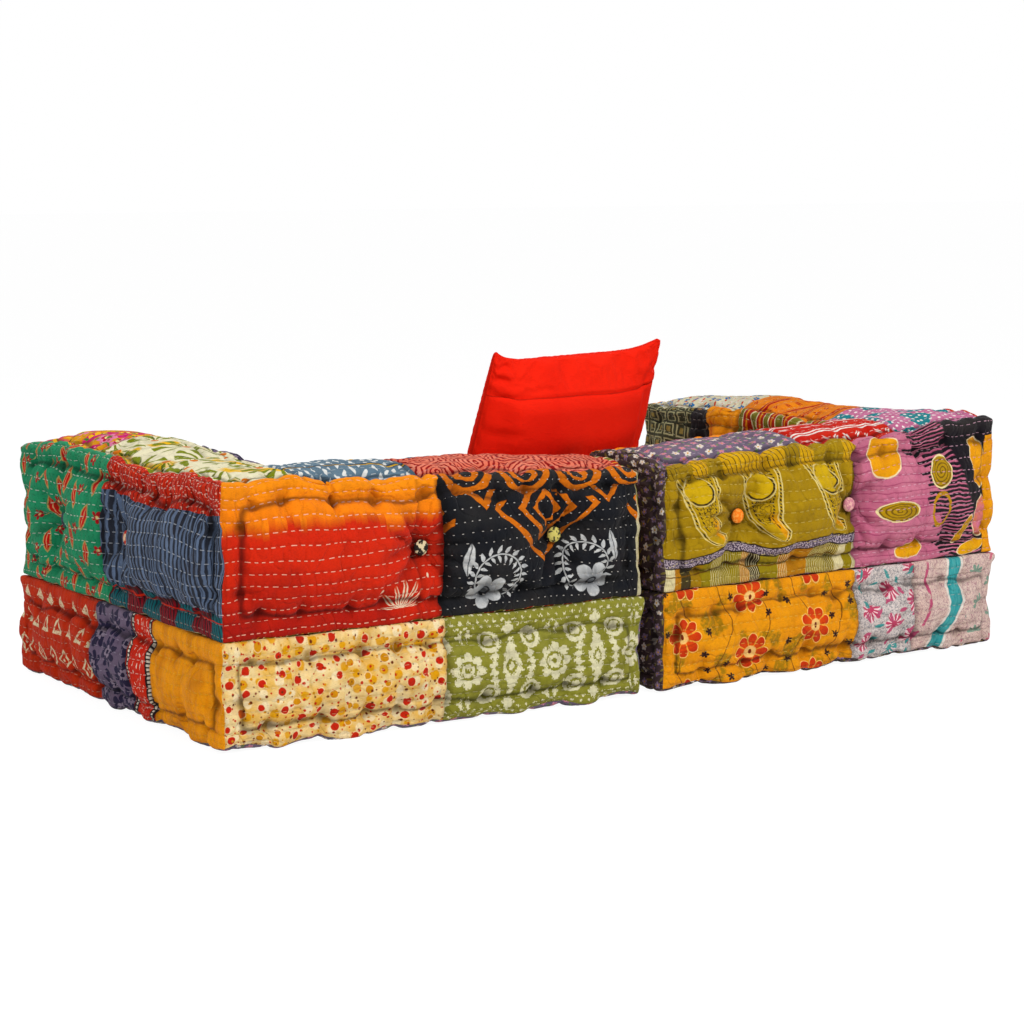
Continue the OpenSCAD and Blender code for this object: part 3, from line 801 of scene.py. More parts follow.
class Value:
    # the output of a node, which adds up as a number does
    def __init__(self, tree, link):
        self.tree, self.link = tree, link

    def math(self, how, *others):
        return self.tree.node("Math", {"operation": how}, dict(enumerate((self, *others))))

    def __add__(self, other):
        return self.math("ADD", other)

    def __sub__(self, other):
        return self.math("SUBTRACT", other)

    def __rsub__(self, other):
        return self.tree.node("Math", {"operation": "SUBTRACT"}, {0: other, 1: self})

    def __mul__(self, other):
        return self.math("MULTIPLY", other)

    def __truediv__(self, other):
        return self.math("DIVIDE", other)

    __radd__, __rmul__ = __add__, __mul__

    def __pow__(self, other):
        return self.math("POWER", other)

    def __abs__(self):
        return self.math("ABSOLUTE")

    def floor(self):
        return self.math("FLOOR")

    def part(self):
        return self.math("FRACT")

    def wave(self, length, start=0.0):
        # a sine of the given wavelength
        return (self * (2 * math.pi / length) + start).math("SINE")

    def least(self, other):
        return self.math("MINIMUM", other)

    def most(self, other):
        return self.math("MAXIMUM", other)

    def above(self, edge=0.0, soft=0.0005):
        if isinstance(edge, Value):
            return (self - edge).above(0.0, soft)
        return self.tree.node("MapRange", {}, {0: self, 1: edge - soft, 2: edge + soft})

    def below(self, edge=0.0, soft=0.0005):
        if isinstance(edge, Value):
            return (edge - self).above(0.0, soft)
        return self.tree.node("MapRange", {}, {0: self, 1: edge + soft, 2: edge - soft})

    def near(self, wide, soft=0.0005):
        # 1 where the value is within the given width of nothing
        return abs(self).below(wide, soft)


class Tree:
    # the nodes of a material or of the world
    def __init__(self, owner):
        owner.use_nodes = True
        self.nodes, self.links = owner.node_tree.nodes, owner.node_tree.links

    def feed(self, sockets, values):
        # links a node's value to its socket, and sets any other value on it
        for name, value in values.items():
            if isinstance(value, Value):
                self.links.new(value.link, sockets[name])
            else:
                sockets[name].default_value = dye(value) if isinstance(value, str) else value

    def node(self, kind, settings=None, sockets=None, out=0):
        made = self.nodes.new("ShaderNode" + kind)
        for name, setting in (settings or {}).items():
            setattr(made, name, setting)
        self.feed(made.inputs, sockets or {})
        return Value(self, made.outputs[out])

    def looked(self):
        # 1 for a ray that looks at a surface, and 0 for one that lights it
        rays = self.node("LightPath").link.node.outputs
        camera, glossy, through = (rays[f"Is {way} Ray"] for way in ("Camera", "Glossy", "Transmission"))
        return Value(self, camera).most(Value(self, glossy)).most(Value(self, through))


class Cloth(Tree):
    # one fabric: a print draws on it in metres, from its patch's lower left corner
    def __init__(self, name):
        self.material = bpy.data.materials.new(name)
        super().__init__(self.material)
        self.shader = self.nodes["Principled BSDF"]

    def finish(self, height, distance, strength, surface):
        # joins the drawn colour, the bump and the rest of the surface to the shader
        bump = self.node("Bump", {}, {"Height": height, "Distance": distance, "Strength": strength})
        self.feed(self.shader.inputs, {"Base Color": self.colour, "Normal": bump, **surface})
        return self.material

    def split(self, vector):
        first = self.node("SeparateXYZ", {}, {0: vector})
        outs = first.link.node.outputs
        return [Value(self, out) for out in outs]

    def map(self, name):
        return self.split(self.node("UVMap", {"uv_map": name}))[:2]

    def attribute(self, name):
        return self.node("Attribute", {"attribute_name": name}, out=2)

    def vector(self, x, y, z=0.0):
        return self.node("CombineXYZ", {}, {0: x, 1: y, 2: z})

    def mix(self, amount, first, second, how="MIX"):
        settings = {"data_type": "RGBA", "blend_type": how}
        return self.node("Mix", settings, {0: amount, 6: first, 7: second}, out=2)

    def ground(self, amount, first, second):
        # what the print's marks are painted on
        self.colour = self.mix(amount, first, second)

    def paint(self, amount, tint):
        self.colour = self.mix(amount, self.colour, tint)

    def noise(self, u, v, size, detail=2.0, seed=0.0):
        place = self.vector(u / size + seed, v / size + 3.7 * seed)
        sockets = {"Vector": place, "Detail": detail, "Scale": 1.0}
        return self.node("TexNoise", {"noise_dimensions": "2D"}, sockets)

    def grain(self, size, detail=2.0, seed=0.0):
        return self.noise(self.u, self.v, size, detail, seed)

    def lumps(self, scale, detail):
        # noise in the piece's own frame
        place = self.node("TexCoord", out=3)
        return self.node("TexNoise", {}, {"Vector": place, "Scale": scale, "Detail": detail})

    def chance(self, col, row, seed=0.0):
        # three random numbers for each cell of a lattice
        place = self.vector(col + seed, row)
        return self.split(self.node("TexWhiteNoise", {"noise_dimensions": "2D"}, {"Vector": place}, out=1))

    def shaken(self, u, v, amount, size, seed=0.0):
        # the unsteady hand of a block printer
        du = self.noise(u, v, size, 2.0, seed) - 0.5
        dv = self.noise(u, v, size, 2.0, seed + 9.0) - 0.5
        return u + du * (2 * amount), v + dv * (2 * amount)

    def unsteady(self, amount, size):
        return self.shaken(self.u, self.v, amount, size)

    def cells(self, u, v, wide, high, drop=0.0, jitter=0.0, seed=0.0):
        # a lattice of motifs: the place in its own cell, and three random numbers of that cell
        col = (u / wide).floor()
        if drop:
            v = v + col.math("FLOORED_MODULO", 2.0) * (drop * high)
        row = (v / high).floor()
        r, g, b = self.chance(col, row, seed)
        x = u - (col + 0.5) * wide - (r - 0.5) * jitter
        y = v - (row + 0.5) * high - (g - 0.5) * jitter
        return x, y, (r, g, b)


def turned(x, y, angle):
    c, s = angle.math("COSINE"), angle.math("SINE")
    return x * c + y * s, y * c - x * s


def polar(x, y):
    return (x * x + y * y).math("SQRT"), y.math("ARCTAN2", x)


def petals(x, y, radius, count, waist, start=0.0, soft=0.0006):
    # a flower with round petals
    away, turn = polar(x, y)
    edge = abs((turn * (count / 2) + start).math("COSINE")) ** 0.6
    return away.below((edge * (1 - waist) + waist) * radius, soft)


def leaf(x, y, length, wide, soft=0.0005):
    # a pointed leaf along x
    across = (1 - (x / length) ** 2.0) * wide - abs(y)
    return across.above(0.0, soft)


def disc(x, y, radius, soft=0.0005):
    return (x * x + y * y).math("SQRT").below(radius, soft)


def ring(x, y, radius, wide, soft=0.0005):
    return ((x * x + y * y).math("SQRT") - radius).near(wide, soft)


# Every quilted patch: rows of running stitches, a plain weave, small puckers and rubbed rolls
quilt = {
    "rowPitch": 0.0172,
    "rowWave": 0.0030,
    "rowDeep": 0.0012,
    "crumple": 0.0020,
    "seamDeep": 0.0062,
    "seamWide": 0.0040,
    "seamFade": 0.01,       # towards its ends
    "bar": 0.036,           # from a seam to the gathered bar beside it
    "barWide": 0.0030,
    "barSeam": 0.0055,
    "tuftPull": 0.38,
    "stitchPitch": 0.0118,
    "threadWide": 0.00060,
    "weave": 0.0011,
    "puckerSize": 0.012,
    "foldShade": 0.80,
    "richness": 1.13,
    "depth": 0.96,
    "fade": 0.10,
}


def finishQuilt(c, thread, show, share):
    # the running stitches, the wear and painted highlight along the edges, the painted shade in the creases
    # and the weave that every patch has over its print
    ru, rows = c.map("rows")
    rowNumber = rows.floor()
    shift = c.chance(rowNumber, 0.5)[0]
    along = ru / quilt["stitchPitch"] + shift + c.noise(ru, rows * 0.017, 0.03, 0.0, 6.0) * 0.8
    dash = (along.part() - share / 2).near(share / 2, 0.03)
    lineWide = quilt["threadWide"] / quilt["rowPitch"]
    offLine = (rows - rowNumber) - 0.5
    stitch = dash * offLine.near(lineWide, 0.35 * lineWide)
    paintedShade, worn = c.attribute("paintedShade"), c.attribute("worn")
    u, v = c.u, c.v
    fade = c.noise(u, v, 0.06, 3.0, 4.0)
    pale = c.mix(0.35, c.colour, "d8cdb8")
    # paler where the dye has faded, and near the edges, where the cloth is rubbed and a highlight is painted
    # on the rolls
    c.paint(((fade - 0.42) * 1.4).most(0.0).least(1.0) * quilt["fade"] + worn * 0.04, pale)
    yarn = c.noise(u, v * 6.0, 0.004, 1.0, 2.0)
    c.paint((yarn - 0.5).most(0.0) * 0.7, (0.0, 0.0, 0.0, 1.0))
    shade = c.noise(u, v, 0.035, 2.0, 11.0)
    c.paint((shade - 0.5).most(0.0) * 0.9, c.mix(0.7, c.colour, (0.02, 0.01, 0.01, 1.0)))
    c.paint(stitch * show, thread)
    # painted shade: the colour darkened in the creases, seams, folds and tuft bottoms
    deep = c.mix(0.88, c.colour, (0.02, 0.012, 0.01, 1.0), "MULTIPLY")
    c.paint(paintedShade * quilt["foldShade"], deep)
    weave = (u.wave(quilt["weave"]) * v.wave(quilt["weave"])) * 0.05
    pucker = c.noise(u, v * 0.45, quilt["puckerSize"], 2.0, 7.0) * 1.5
    crease = (c.noise(u, v * 0.7, 0.030, 1.0, 9.0) - 0.5).near(0.03, 0.03) * 0.9
    gather = along.wave(1.0) * (0.5 - abs(offLine)) * 0.9
    channel = offLine.near(0.05, 0.16) * 1.3
    height = weave + pucker - crease + gather + stitch * 0.6 - channel
    rich = {"Saturation": quilt["richness"], "Value": quilt["depth"], "Color": c.colour}
    c.colour = c.node("HueSaturation", {}, rich)
    surface = {"Roughness": 0.88, "Sheen Weight": 0.03, "Specular IOR Level": 0.15}
    return c.finish(height, 0.0012, 1.0, surface)


def sunsetDye(c):
    # orange dye run down into red in soft blocks, with a fan of cream petals at the foot
    u, v = c.u, c.v
    block = c.noise((u / 0.009).floor() * 0.009, v * 0.0, 0.020, 1.0, 2.0)
    edge = v + (block - 0.5) * 0.032 + (c.noise(u, v, 0.05, 1.0, 5.0) - 0.5) * 0.014
    low = (0.105 - v) * 9.0 + (0.10 - u) * 2.2 + (c.noise(u, v, 0.08, 2.0, 2.0) - 0.5) * 1.2
    low = low.most(0.0).least(1.0)
    red = c.mix(low, "cf2b17", "a3150d")
    c.ground(edge.above(0.153, 0.0085), red, "f4800a")
    c.paint((edge - 0.150).near(0.004, 0.008) * 0.45, "b8380f")
    c.paint((v.above(0.188, 0.02)) * 0.5, "f79a14")
    x, y = c.shaken(u - 0.288, v - 0.018, 0.0015, 0.010)
    away, turn = polar(x, y)
    step = turn * (7.0 / math.pi)
    side = abs(step.part() - 0.5)
    length = ((turn.math("SINE")) * 0.014 + 0.030)
    blade = (side - (1 - away / length).most(0.0) ** 0.5 * 0.46).below(0.0, 0.03) * y.above(0.002)
    vein = side.below(0.10, 0.04) * away.above(0.012)
    blade = blade * (away - length).below(0.0)
    c.paint(blade * (1 - vein * 0.85), "ecd6bb")
    for x0, y0 in ((0.330, 0.062), (0.252, 0.050)):
        c.paint(disc(u - x0, v - y0, 0.0032), "ecd6bb")


def nightChevrons(c):
    # black with hand drawn orange chevrons above and two grey leaf wreaths below
    u, v = c.unsteady(0.0030, 0.024)
    x, y = abs(u - 0.172), v - 0.157
    step = x * 1.02 + abs(y)
    lines = (step - 0.026).near(0.0052) + (step - 0.053).near(0.0056)
    lines = lines + (step - 0.089).near(0.0062) * y.below(0.012, 0.001)
    between = abs(x - 0.107) * 1.15 + abs(v - 0.202)
    lines = lines.least(1.0) * v.below(0.186) + (between - 0.040).near(0.0065) * v.below(0.186)
    edge = abs(x - 0.200) + abs(v - 0.158)
    sides = (edge - 0.030).near(0.0055) + (edge - 0.062).near(0.0060) * v.below(0.150)
    lines = lines + sides * x.above(0.150)
    loop, _ = polar(((u / 0.094).part() - 0.5) * 0.094, v - 0.222)
    lines = lines + ((loop - 0.017).near(0.0052) + (loop - 0.036).near(0.0055)) * v.above(0.182)
    c.ground(lines.least(1.0), "0b0d13", "cc6a0e")
    x, y = c.shaken(abs(c.u - 0.163) - 0.080, c.v - 0.057, 0.0010, 0.010)
    away, turn = polar(x, y)
    out = away - 0.036
    along = ((turn * (0.036 / 0.0115)).part() - 0.5) * 0.0115 - abs(out) * 0.5
    leaves = ((along / 0.0030) ** 2.0 + ((abs(out) - 0.0072) / 0.0056) ** 2.0).below(1.0, 0.08)
    opening = (turn + 1.35).near(0.75, 0.05)
    wreath = leaves.most(out.near(0.0010)) * (1 - opening)
    long = leaf(y - 0.030, x - 0.044 + (y - 0.030) * 0.2, 0.024, 0.0065)
    long = long * (1 - (x - 0.044 + (y - 0.030) * 0.2).near(0.0006))
    flowerX, flowerY = x - 0.012, y + 0.022
    petal = petals(flowerX, flowerY, 0.0300, 5, 0.50, 0.3)
    gap = petals(flowerX, flowerY, 0.0280, 5, 0.10, 0.3 + math.pi / 2)
    middle = ring(flowerX, flowerY, 0.0058, 0.0012)
    shade = c.grain(0.008, 2.0, 5.0)
    tint = c.mix(shade, "8f9296", "dcdcd8")
    c.paint(wreath.most(long) * c.v.below(0.112), tint)
    far, _ = polar(flowerX, flowerY)
    c.paint(petal, c.mix((far / 0.030).least(1.0), "70747a", "c9cac9"))
    c.paint((petal - gap).most(0.0).near(0.0, 0.2) * petal * 0.35 + middle, "1a1c22")
    c.paint((c.u - 0.343).above(0.0) * 0.8, "cfc6a2")


def greenBuds(c):
    # sea green with red buds outlined in tan
    u, v = c.unsteady(0.0015, 0.02)
    c.ground(c.noise(u, v, 0.03, 3.0), "2a7855", "3f9c70")
    x, y, (r, _, _) = c.cells(u, v, 0.046, 0.050, 0.5, 0.014)
    x, y = turned(x, y, r * 1.3 + 0.9)
    c.paint(leaf(x, y, 0.0205, 0.0078), "b9a06a")
    c.paint(leaf(x, y, 0.0170, 0.0055), "c22a2a")
    c.paint(leaf(x, y, 0.0170, 0.0008) * 0.9, "e8b48c")
    x, y, (r, _, _) = c.cells(u + 0.023, v + 0.014, 0.046, 0.050, 0.5, 0.010, 3.0)
    rosette = petals(x, y, 0.0085, 5, 0.15, r)
    c.paint(rosette, "a8202a")
    c.paint(disc(x, y, 0.0022), "d9c48a")
    curl = ring(x - 0.009, y - 0.006, 0.0055, 0.0008) * (x - 0.009 - y).above(0.0)
    c.paint(curl, "c2ad76")
    speck = c.noise(u, v, 0.0035, 1.0, 3.0).above(0.68, 0.03)
    c.paint(speck * 0.6, "134a33")


def gatheredRed(c):
    # a red band pleated with thin dark lines
    sway = (c.grain(0.04, 2.0) - 0.5) * 0.008
    lines = ((c.u + sway) / 0.0082).part().below(0.20, 0.08)
    c.ground(c.grain(0.03, 3.0), "b81f18", "d43a24")
    c.paint(lines * 0.75, "3d0a0c")
    c.paint(c.grain(0.005, 1.0, 6.0).above(0.66, 0.02) * 0.6, "f0d2c0")


def slateStripes(c):
    # slate blue with uneven black stripes
    sway = (c.grain(0.05, 2.0) - 0.5) * 0.016 + (c.noise(c.u, c.v * 0.3, 0.006, 2.0) - 0.5) * 0.004
    across = c.u + sway
    broad = (across / 0.0105).part().below(0.46, 0.06)
    thin = (across / 0.0045).part().below(0.30, 0.12)
    thin = thin * c.noise(across, c.v * 0.1, 0.02, 1.0, 4.0).above(0.45, 0.05)
    c.ground(c.noise(c.u, c.v * 0.2, 0.01, 3.0), "4c5a72", "7686a0")
    c.paint(broad.most(thin) * 0.93, "12131c")


def hemStripes(c):
    # teal and dark red edge bands with a thin pale line between them
    stripe = ((c.u + c.v * 0.3) / 0.007).part().below(0.4, 0.08)
    teal = c.mix(stripe, "1a6066", "0d2430")
    red = c.mix(stripe, "821420", "240810")
    side = (c.u / 0.11 + (c.grain(0.02) - 0.5) * 0.1).part().above(0.5, 0.01)
    c.ground(side, teal, red)
    c.paint((c.v - 0.030).near(0.0016), "d43a2c")


def diamondTrellis(c):
    # brick red with hollow cream triangles above hollow diamonds
    u, v = c.unsteady(0.0012, 0.012)
    x = (u / 0.043).part() * 0.043 - 0.0215
    y = v - 0.050
    low = (abs(x) * 1.1 + abs(y)) - 0.0165
    x = ((u + 0.0215) / 0.043).part() * 0.043 - 0.0215
    high = (abs(x) * 1.25 + (v - 0.098) * 0.75 - 0.0105).most(0.086 - v).most(v - 0.118)
    rowAbove = (abs(x) * 1.1 + abs(v - 0.137)) - 0.013
    line = (low + 0.002).near(0.0026) + (high + 0.003).near(0.0026)
    line = line + rowAbove.below(0.0) + (low + 0.0125).below(0.0)
    c.ground(c.grain(0.02, 3.0), "b8382f", "cf5544")
    worn = c.grain(0.004, 2.0, 5.0).below(0.62, 0.08)
    c.paint(line.least(1.0) * worn, "ead9b6")


def inkFlowers(c):
    # grey purple with dark spiky blotches
    u, v = c.unsteady(0.004, 0.012)
    x, y, (r, g, _) = c.cells(u, v, 0.046, 0.046, 0.5, 0.008)
    c.ground(c.noise(u, v, 0.02, 3.0), "5d4f66", "7b6c80")
    c.paint(petals(x, y, 0.023, 8, 0.35, r * 3.0), "241f3a")
    c.paint(petals(x, y, 0.009, 6, 0.4, g * 3.0), "8d7f90")
    c.paint(disc(x, y, 0.003), "1a1630")


def borderedRed(c):
    # bright red between thin curved borders in black and white
    sway = (c.v - 0.08) * (c.v - 0.08) * 1.2 + (c.grain(0.05) - 0.5) * 0.004
    across = c.u + sway
    edge = abs(across - 0.040) - 0.026
    c.ground(c.grain(0.03, 2.0), "c81a16", "de3a1e")
    c.paint(edge.above(-0.001), "160d12")
    dots = (c.v / 0.006).part().below(0.6, 0.1) * (edge - 0.0035).near(0.0018)
    c.paint(dots, "efe5d4")
    c.paint((edge - 0.009).above(0.0), "b8321e")
    flecks = c.noise(c.u, c.v * 0.5, 0.004, 1.0, 8.0).above(0.68, 0.02) * edge.below(-0.004)
    c.paint(flecks, "f2d8c8")


def mustardSlub(c):
    grain = c.noise(c.u, c.v * 0.12, 0.0035, 3.0)
    c.ground(grain, "ee8c12", "fbab30")
    soft = c.noise(c.u, c.v * 0.4, 0.03, 2.0, 3.0)
    c.paint((soft - 0.45).most(0.0) * 1.6, "b8650a")


def confetti(c):
    # cream with soft mustard blobs, red dots of several sizes and small brown ones
    u, v = c.unsteady(0.0012, 0.010)
    c.ground(c.noise(u, v, 0.03, 2.0).above(0.50, 0.14), "efd6a2", "e6bc74")
    x, y, (r, g, _) = c.cells(u + 0.011, v, 0.021, 0.021, 0.5, 0.011, 2.0)
    blob = c.mix(r.above(0.45, 0.01), "d99a36", "f5e3bc")
    c.paint(disc(x, y, g * 0.003 + 0.0046, 0.0008) * 0.8, blob)
    for wide, size, seed in ((0.0275, 0.0042, 5.0), (0.0175, 0.0016, 9.0), (0.0115, 0.0009, 14.0)):
        x, y, (r, g, b) = c.cells(u + seed * 0.001, v, wide, wide, 0.5, wide * 0.45, seed)
        kind = c.mix(b.above(0.70, 0.01), c.mix(r.above(0.30, 0.01), "cf8f36", "c23c30"), "6a3020")
        if size > 0.004:
            c.paint(disc(x, y, g * size * 0.5 + size * 1.25) * 0.7, "f6e0b8")
            kind = c.mix(r.above(0.22, 0.01), "cf8f36", "c63a30")
        c.paint(disc(x, y, g * size * 0.5 + size), kind)


def oliveIkat(c):
    # mirrored cream medallions and spindles on olive, with the jagged edges of an ikat
    u = c.u + (c.noise(c.u, (c.v / 0.0026).floor() * 0.0026, 0.003, 0.0) - 0.5) * 0.0090
    v = c.v + (c.noise((c.u / 0.004).floor() * 0.004, c.v, 0.004, 0.0, 3.0) - 0.5) * 0.0030
    x = abs((u / 0.150 + 0.30).part() - 0.5) * 0.150
    y = v - 0.078
    away, _ = polar(x, y)
    bloom = petals(x, y, 0.027, 8, 0.55) * (1 - (away - 0.012).near(0.0020)) * (1 - disc(x, y, 0.004))
    saw = abs((y / 0.011).part() - 0.5) * 0.013
    far = abs(x - 0.075)
    spindle = (far * 1.5 + abs(y) * 0.55 - 0.029 + saw).below(0.0)
    spindle = spindle * (1 - (far * 1.3 + abs(y) - 0.010).near(0.0030))
    high = abs(y)
    out, _ = polar(x - 0.040, high - 0.040)
    arch = (out - 0.0135).near(0.0034).most(out.below(0.006))
    crest = (x * 1.3 + abs(high - 0.052) - 0.020 + saw * 0.6).below(0.0) * (x - 0.004).above(0.0)
    tips = (far * 1.2 + abs(high - 0.060) - 0.013).below(0.0)
    steps = (abs(x - 0.040 - high * 0.25) + saw - 0.0080).below(0.0) * high.below(0.024)
    chips = (((x + y) / 0.0145).part() - 0.5).near(0.17) * (((x - y) / 0.0145).part() - 0.5).near(0.17)
    chips = chips * (high - 0.072).near(0.010)
    cream = bloom.most(spindle).most(arch).most(crest).most(tips).most(steps).most(chips)
    c.ground(c.grain(0.015, 3.0), "7a7a30", "908c46")
    soft = c.noise(c.u, c.v * 3.0, 0.004, 1.0, 5.0)
    c.paint(cream * (0.80 + soft * 0.2), "e2dcba")


def hangingDrops(c):
    # three long curved drops on olive mustard, over a speckled band and woven checks
    u, v = c.unsteady(0.0016, 0.018)
    c.ground(c.noise(u, v, 0.04, 3.0), "8f7008", "b08c16")
    x = ((u - 0.014) / 0.124).part() * 0.124 - 0.060
    bend = x + (v - 0.128) * 0.20 - (0.098 - v).most(0.0) * 0.55
    wide = ((v - 0.064) / 0.016).most(0.0).least(1.0) ** 0.5 * 0.021 + (v - 0.09).most(0.0) * 0.16
    inside = wide - abs(bend)
    band = v.above(0.064)
    c.paint(inside.above(0.0) * band, "b99634")
    tail = bend.above(0.006, 0.002) * v.below(0.105, 0.01)
    c.paint(inside.above(0.004) * tail * band, "e39a16")
    dash = ((v * 1.2 + x) / 0.0068).part().above(0.42, 0.06)
    c.paint((inside - 0.0002).near(0.0011) * band, "dccb8e")
    c.paint((inside - 0.0030).near(0.0013) * dash * band, "1d160c")
    c.paint((inside - 0.0058).near(0.0008) * band, "dccb8e")
    heart = (inside - 0.013).above(0.0) * v.above(0.092, 0.004)
    net = (c.noise(u, v * 0.7, 0.0055, 1.0, 5.0) - 0.5).near(0.040, 0.012)
    c.paint(heart * net * 0.9, "2a2012")
    c.paint((inside - 0.0125).near(0.0011) * dash * v.above(0.085), "1d160c")
    away, turn = polar(bend + 0.004, v - 0.158)
    c.paint(away.below(0.0215), "c9a63e")
    c.paint((away - 0.0215).near(0.0012) * (turn + 0.9).near(1.5, 0.1), "2a2012")
    c.paint((away - 0.0245).near(0.0009), "d9c890")
    block = c.chance((u / 0.019).floor(), 3.0)
    loom = c.mix(block[0].above(0.45, 0.01), "b3760f", "8c7a1e")
    loom = c.mix(block[1].above(0.74, 0.01), loom, "d3c79c")
    loom = c.mix(block[2].above(0.84, 0.01), loom, "3c3214")
    loom = c.mix((u / 0.0034).part().below(0.25, 0.1) * block[1].above(0.55, 0.01) * 0.8, loom, "e8dcb4")
    way = v + u.wave(0.17) * 0.0055 - u * 0.015
    c.paint(way.below(0.046), loom)
    c.paint((way - 0.024).near(0.0012), "6b4a14")
    speckle = c.mix(c.noise(u, v, 0.0024, 0.0, 4.0).above(0.52, 0.05), "4a3f50", "b3a4ac")
    c.paint((way - 0.049).near(0.0062), speckle)
    c.paint((abs(way - 0.049) - 0.0070).near(0.0010), "1d1512")
    roll = c.chance((u / 0.030).floor(), 9.0)[0]
    top = c.mix(roll.above(0.5, 0.01), "97780c", "d3a336")
    lines = ((u + v * 0.4) / 0.0085).part().below(0.16, 0.05) * roll.above(0.35, 0.01)
    c.paint(c.v.above(0.181, 0.001) * 0.85, c.mix(lines, top, "2e2410"))


def rosePlumes(c):
    # dusty pink that combs into black, with gold whorls, yellow and pink pods and a gold end
    u, v = c.unsteady(0.0018, 0.018)
    rows = v + (c.noise(u, v, 0.05) - 0.5) * 0.010
    c.ground(c.noise(u, v, 0.04, 3.0), "b45f7c", "cf8c9c")
    c.paint((rows / 0.0135).part().below(0.12, 0.06) * 0.55, "7d2048")
    start = 0.176 - (v - 0.10) * 0.45
    tooth = c.chance((rows / 0.0066).floor(), 1.0)[0] * 0.04
    teeth = (rows / 0.0066).part().below(0.64, 0.06) * (u - start + tooth).above(0.0, 0.001)
    dark = teeth.most((u - start - 0.066).above(0.0, 0.002))
    c.paint(dark, "0f0a12")
    pods = (    # place, half sizes, turn and colour
        (0.058, 0.186, 0.033, 0.038, 0.2, "eda612"), (0.272, 0.152, 0.020, 0.040, 0.35, "f2a91a"),
        (0.276, 0.070, 0.019, 0.036, 0.05, "cf7fa6"), (0.120, 0.022, 0.034, 0.015, 0.2, "eab21c"),
        (0.236, 0.048, 0.009, 0.030, -0.55, "a88a24"), (0.262, 0.014, 0.032, 0.011, 0.25, "e8b01c"),
    )
    for x0, y0, wide, high, lean, tint in pods:
        x, y = u - x0, v - y0
        x, y = x * math.cos(lean) + y * math.sin(lean), y * math.cos(lean) - x * math.sin(lean)
        size = (x / wide) ** 2.0 + (y / high) ** 2.0
        c.paint(size.below(1.0, 0.03), "efdcb4")
        c.paint(size.below(0.86, 0.03), c.mix(c.noise(u, v, 0.02, 2.0, 4.0), tint, "d98a1e"))
    for x0, y0, wide, high in ((0.176, 0.146, 0.025, 0.025), (0.080, 0.092, 0.038, 0.017)):
        x, y = (u - x0) / wide, (v - y0) / high
        away, turn = polar(x, y)
        coil = (away * 4.2 + turn * (0.5 / math.pi)).part().below(0.34, 0.06)
        c.paint(away.below(1.0, 0.01), "e8d9a8")
        c.paint(away.below(0.90, 0.01), c.mix(coil, "ad8a34", "6f5316"))
    hoop = (((u - 0.176) / 0.019) ** 2.0 + ((v - 0.088) / 0.026) ** 2.0 - 1.0).near(0.26, 0.04)
    c.paint(hoop, "b98a30")
    gold = c.mix(c.noise(u, v, 0.02, 2.0, 3.0), "d9850c", "efa522")
    end = (c.u + (c.noise(u, v, 0.05) - 0.5) * 0.006).above(0.290, 0.001) * c.v.below(0.192)
    c.paint(end, gold)


def marigolds(c):
    # orange mustard with club petalled red flowers, dark sprigs and thin stems
    u, v = c.unsteady(0.0014, 0.014)
    c.ground(c.noise(u, v, 0.05, 3.0), "dd860c", "eda024")
    brown = c.noise(u, v, 0.045, 2.0, 6.0).above(0.60, 0.03)
    hatch = c.noise(u, v, 0.006, 1.0, 3.0).above(0.45, 0.05)
    c.paint(brown * (0.35 + hatch * 0.4), "86701a")
    stem = (u + v.wave(0.13) * 0.012 - 0.010) / 0.074
    c.paint((stem.part() - 0.5).near(0.011, 0.008), "6e3d10")
    x, y, (r, _, _) = c.cells(u + 0.012, v - 0.036, 0.122, 0.096, 0.42, 0.012, 2.0)
    away, turn = polar(x, y)
    step = ((turn + r * 3.0) * (8.0 / (2 * math.pi))).part() - 0.5
    side = abs(step) * away * 0.785
    reach = (away - 0.0215).most(0.0)
    size = (side * side + reach * reach).math("SQRT")
    flower = (size - (away * 0.34).least(0.0076)).below(0.0, 0.0004) * away.above(0.0080, 0.001)
    halo = (size - (away * 0.37).least(0.0092)).below(0.0, 0.0004)
    c.paint(halo, "f6c884")
    red = c.mix((away / 0.03).least(1.0), "e8643a", "bf2c14")
    c.paint(flower, red)
    c.paint(away.below(0.0095, 0.001), "f5c98a")
    c.paint(((x / 0.0024) ** 2.0 + (y / 0.0042) ** 2.0).below(1.0, 0.1), "7a2a12")
    x, y, (r, g, _) = c.cells(u + 0.050, v + 0.012, 0.040, 0.034, 0.5, 0.014, 6.0)
    far = ((u + 0.012) / 0.122).part() - 0.5
    x, y = turned(x, y, r * 6.0)
    sprig = petals(x, y, 0.0062, 5, 0.25, r).most(leaf(x + 0.005, y, 0.006, 0.0012))
    c.paint(sprig * g.above(0.25, 0.01) * abs(far).above(0.16, 0.01), "2a120e")


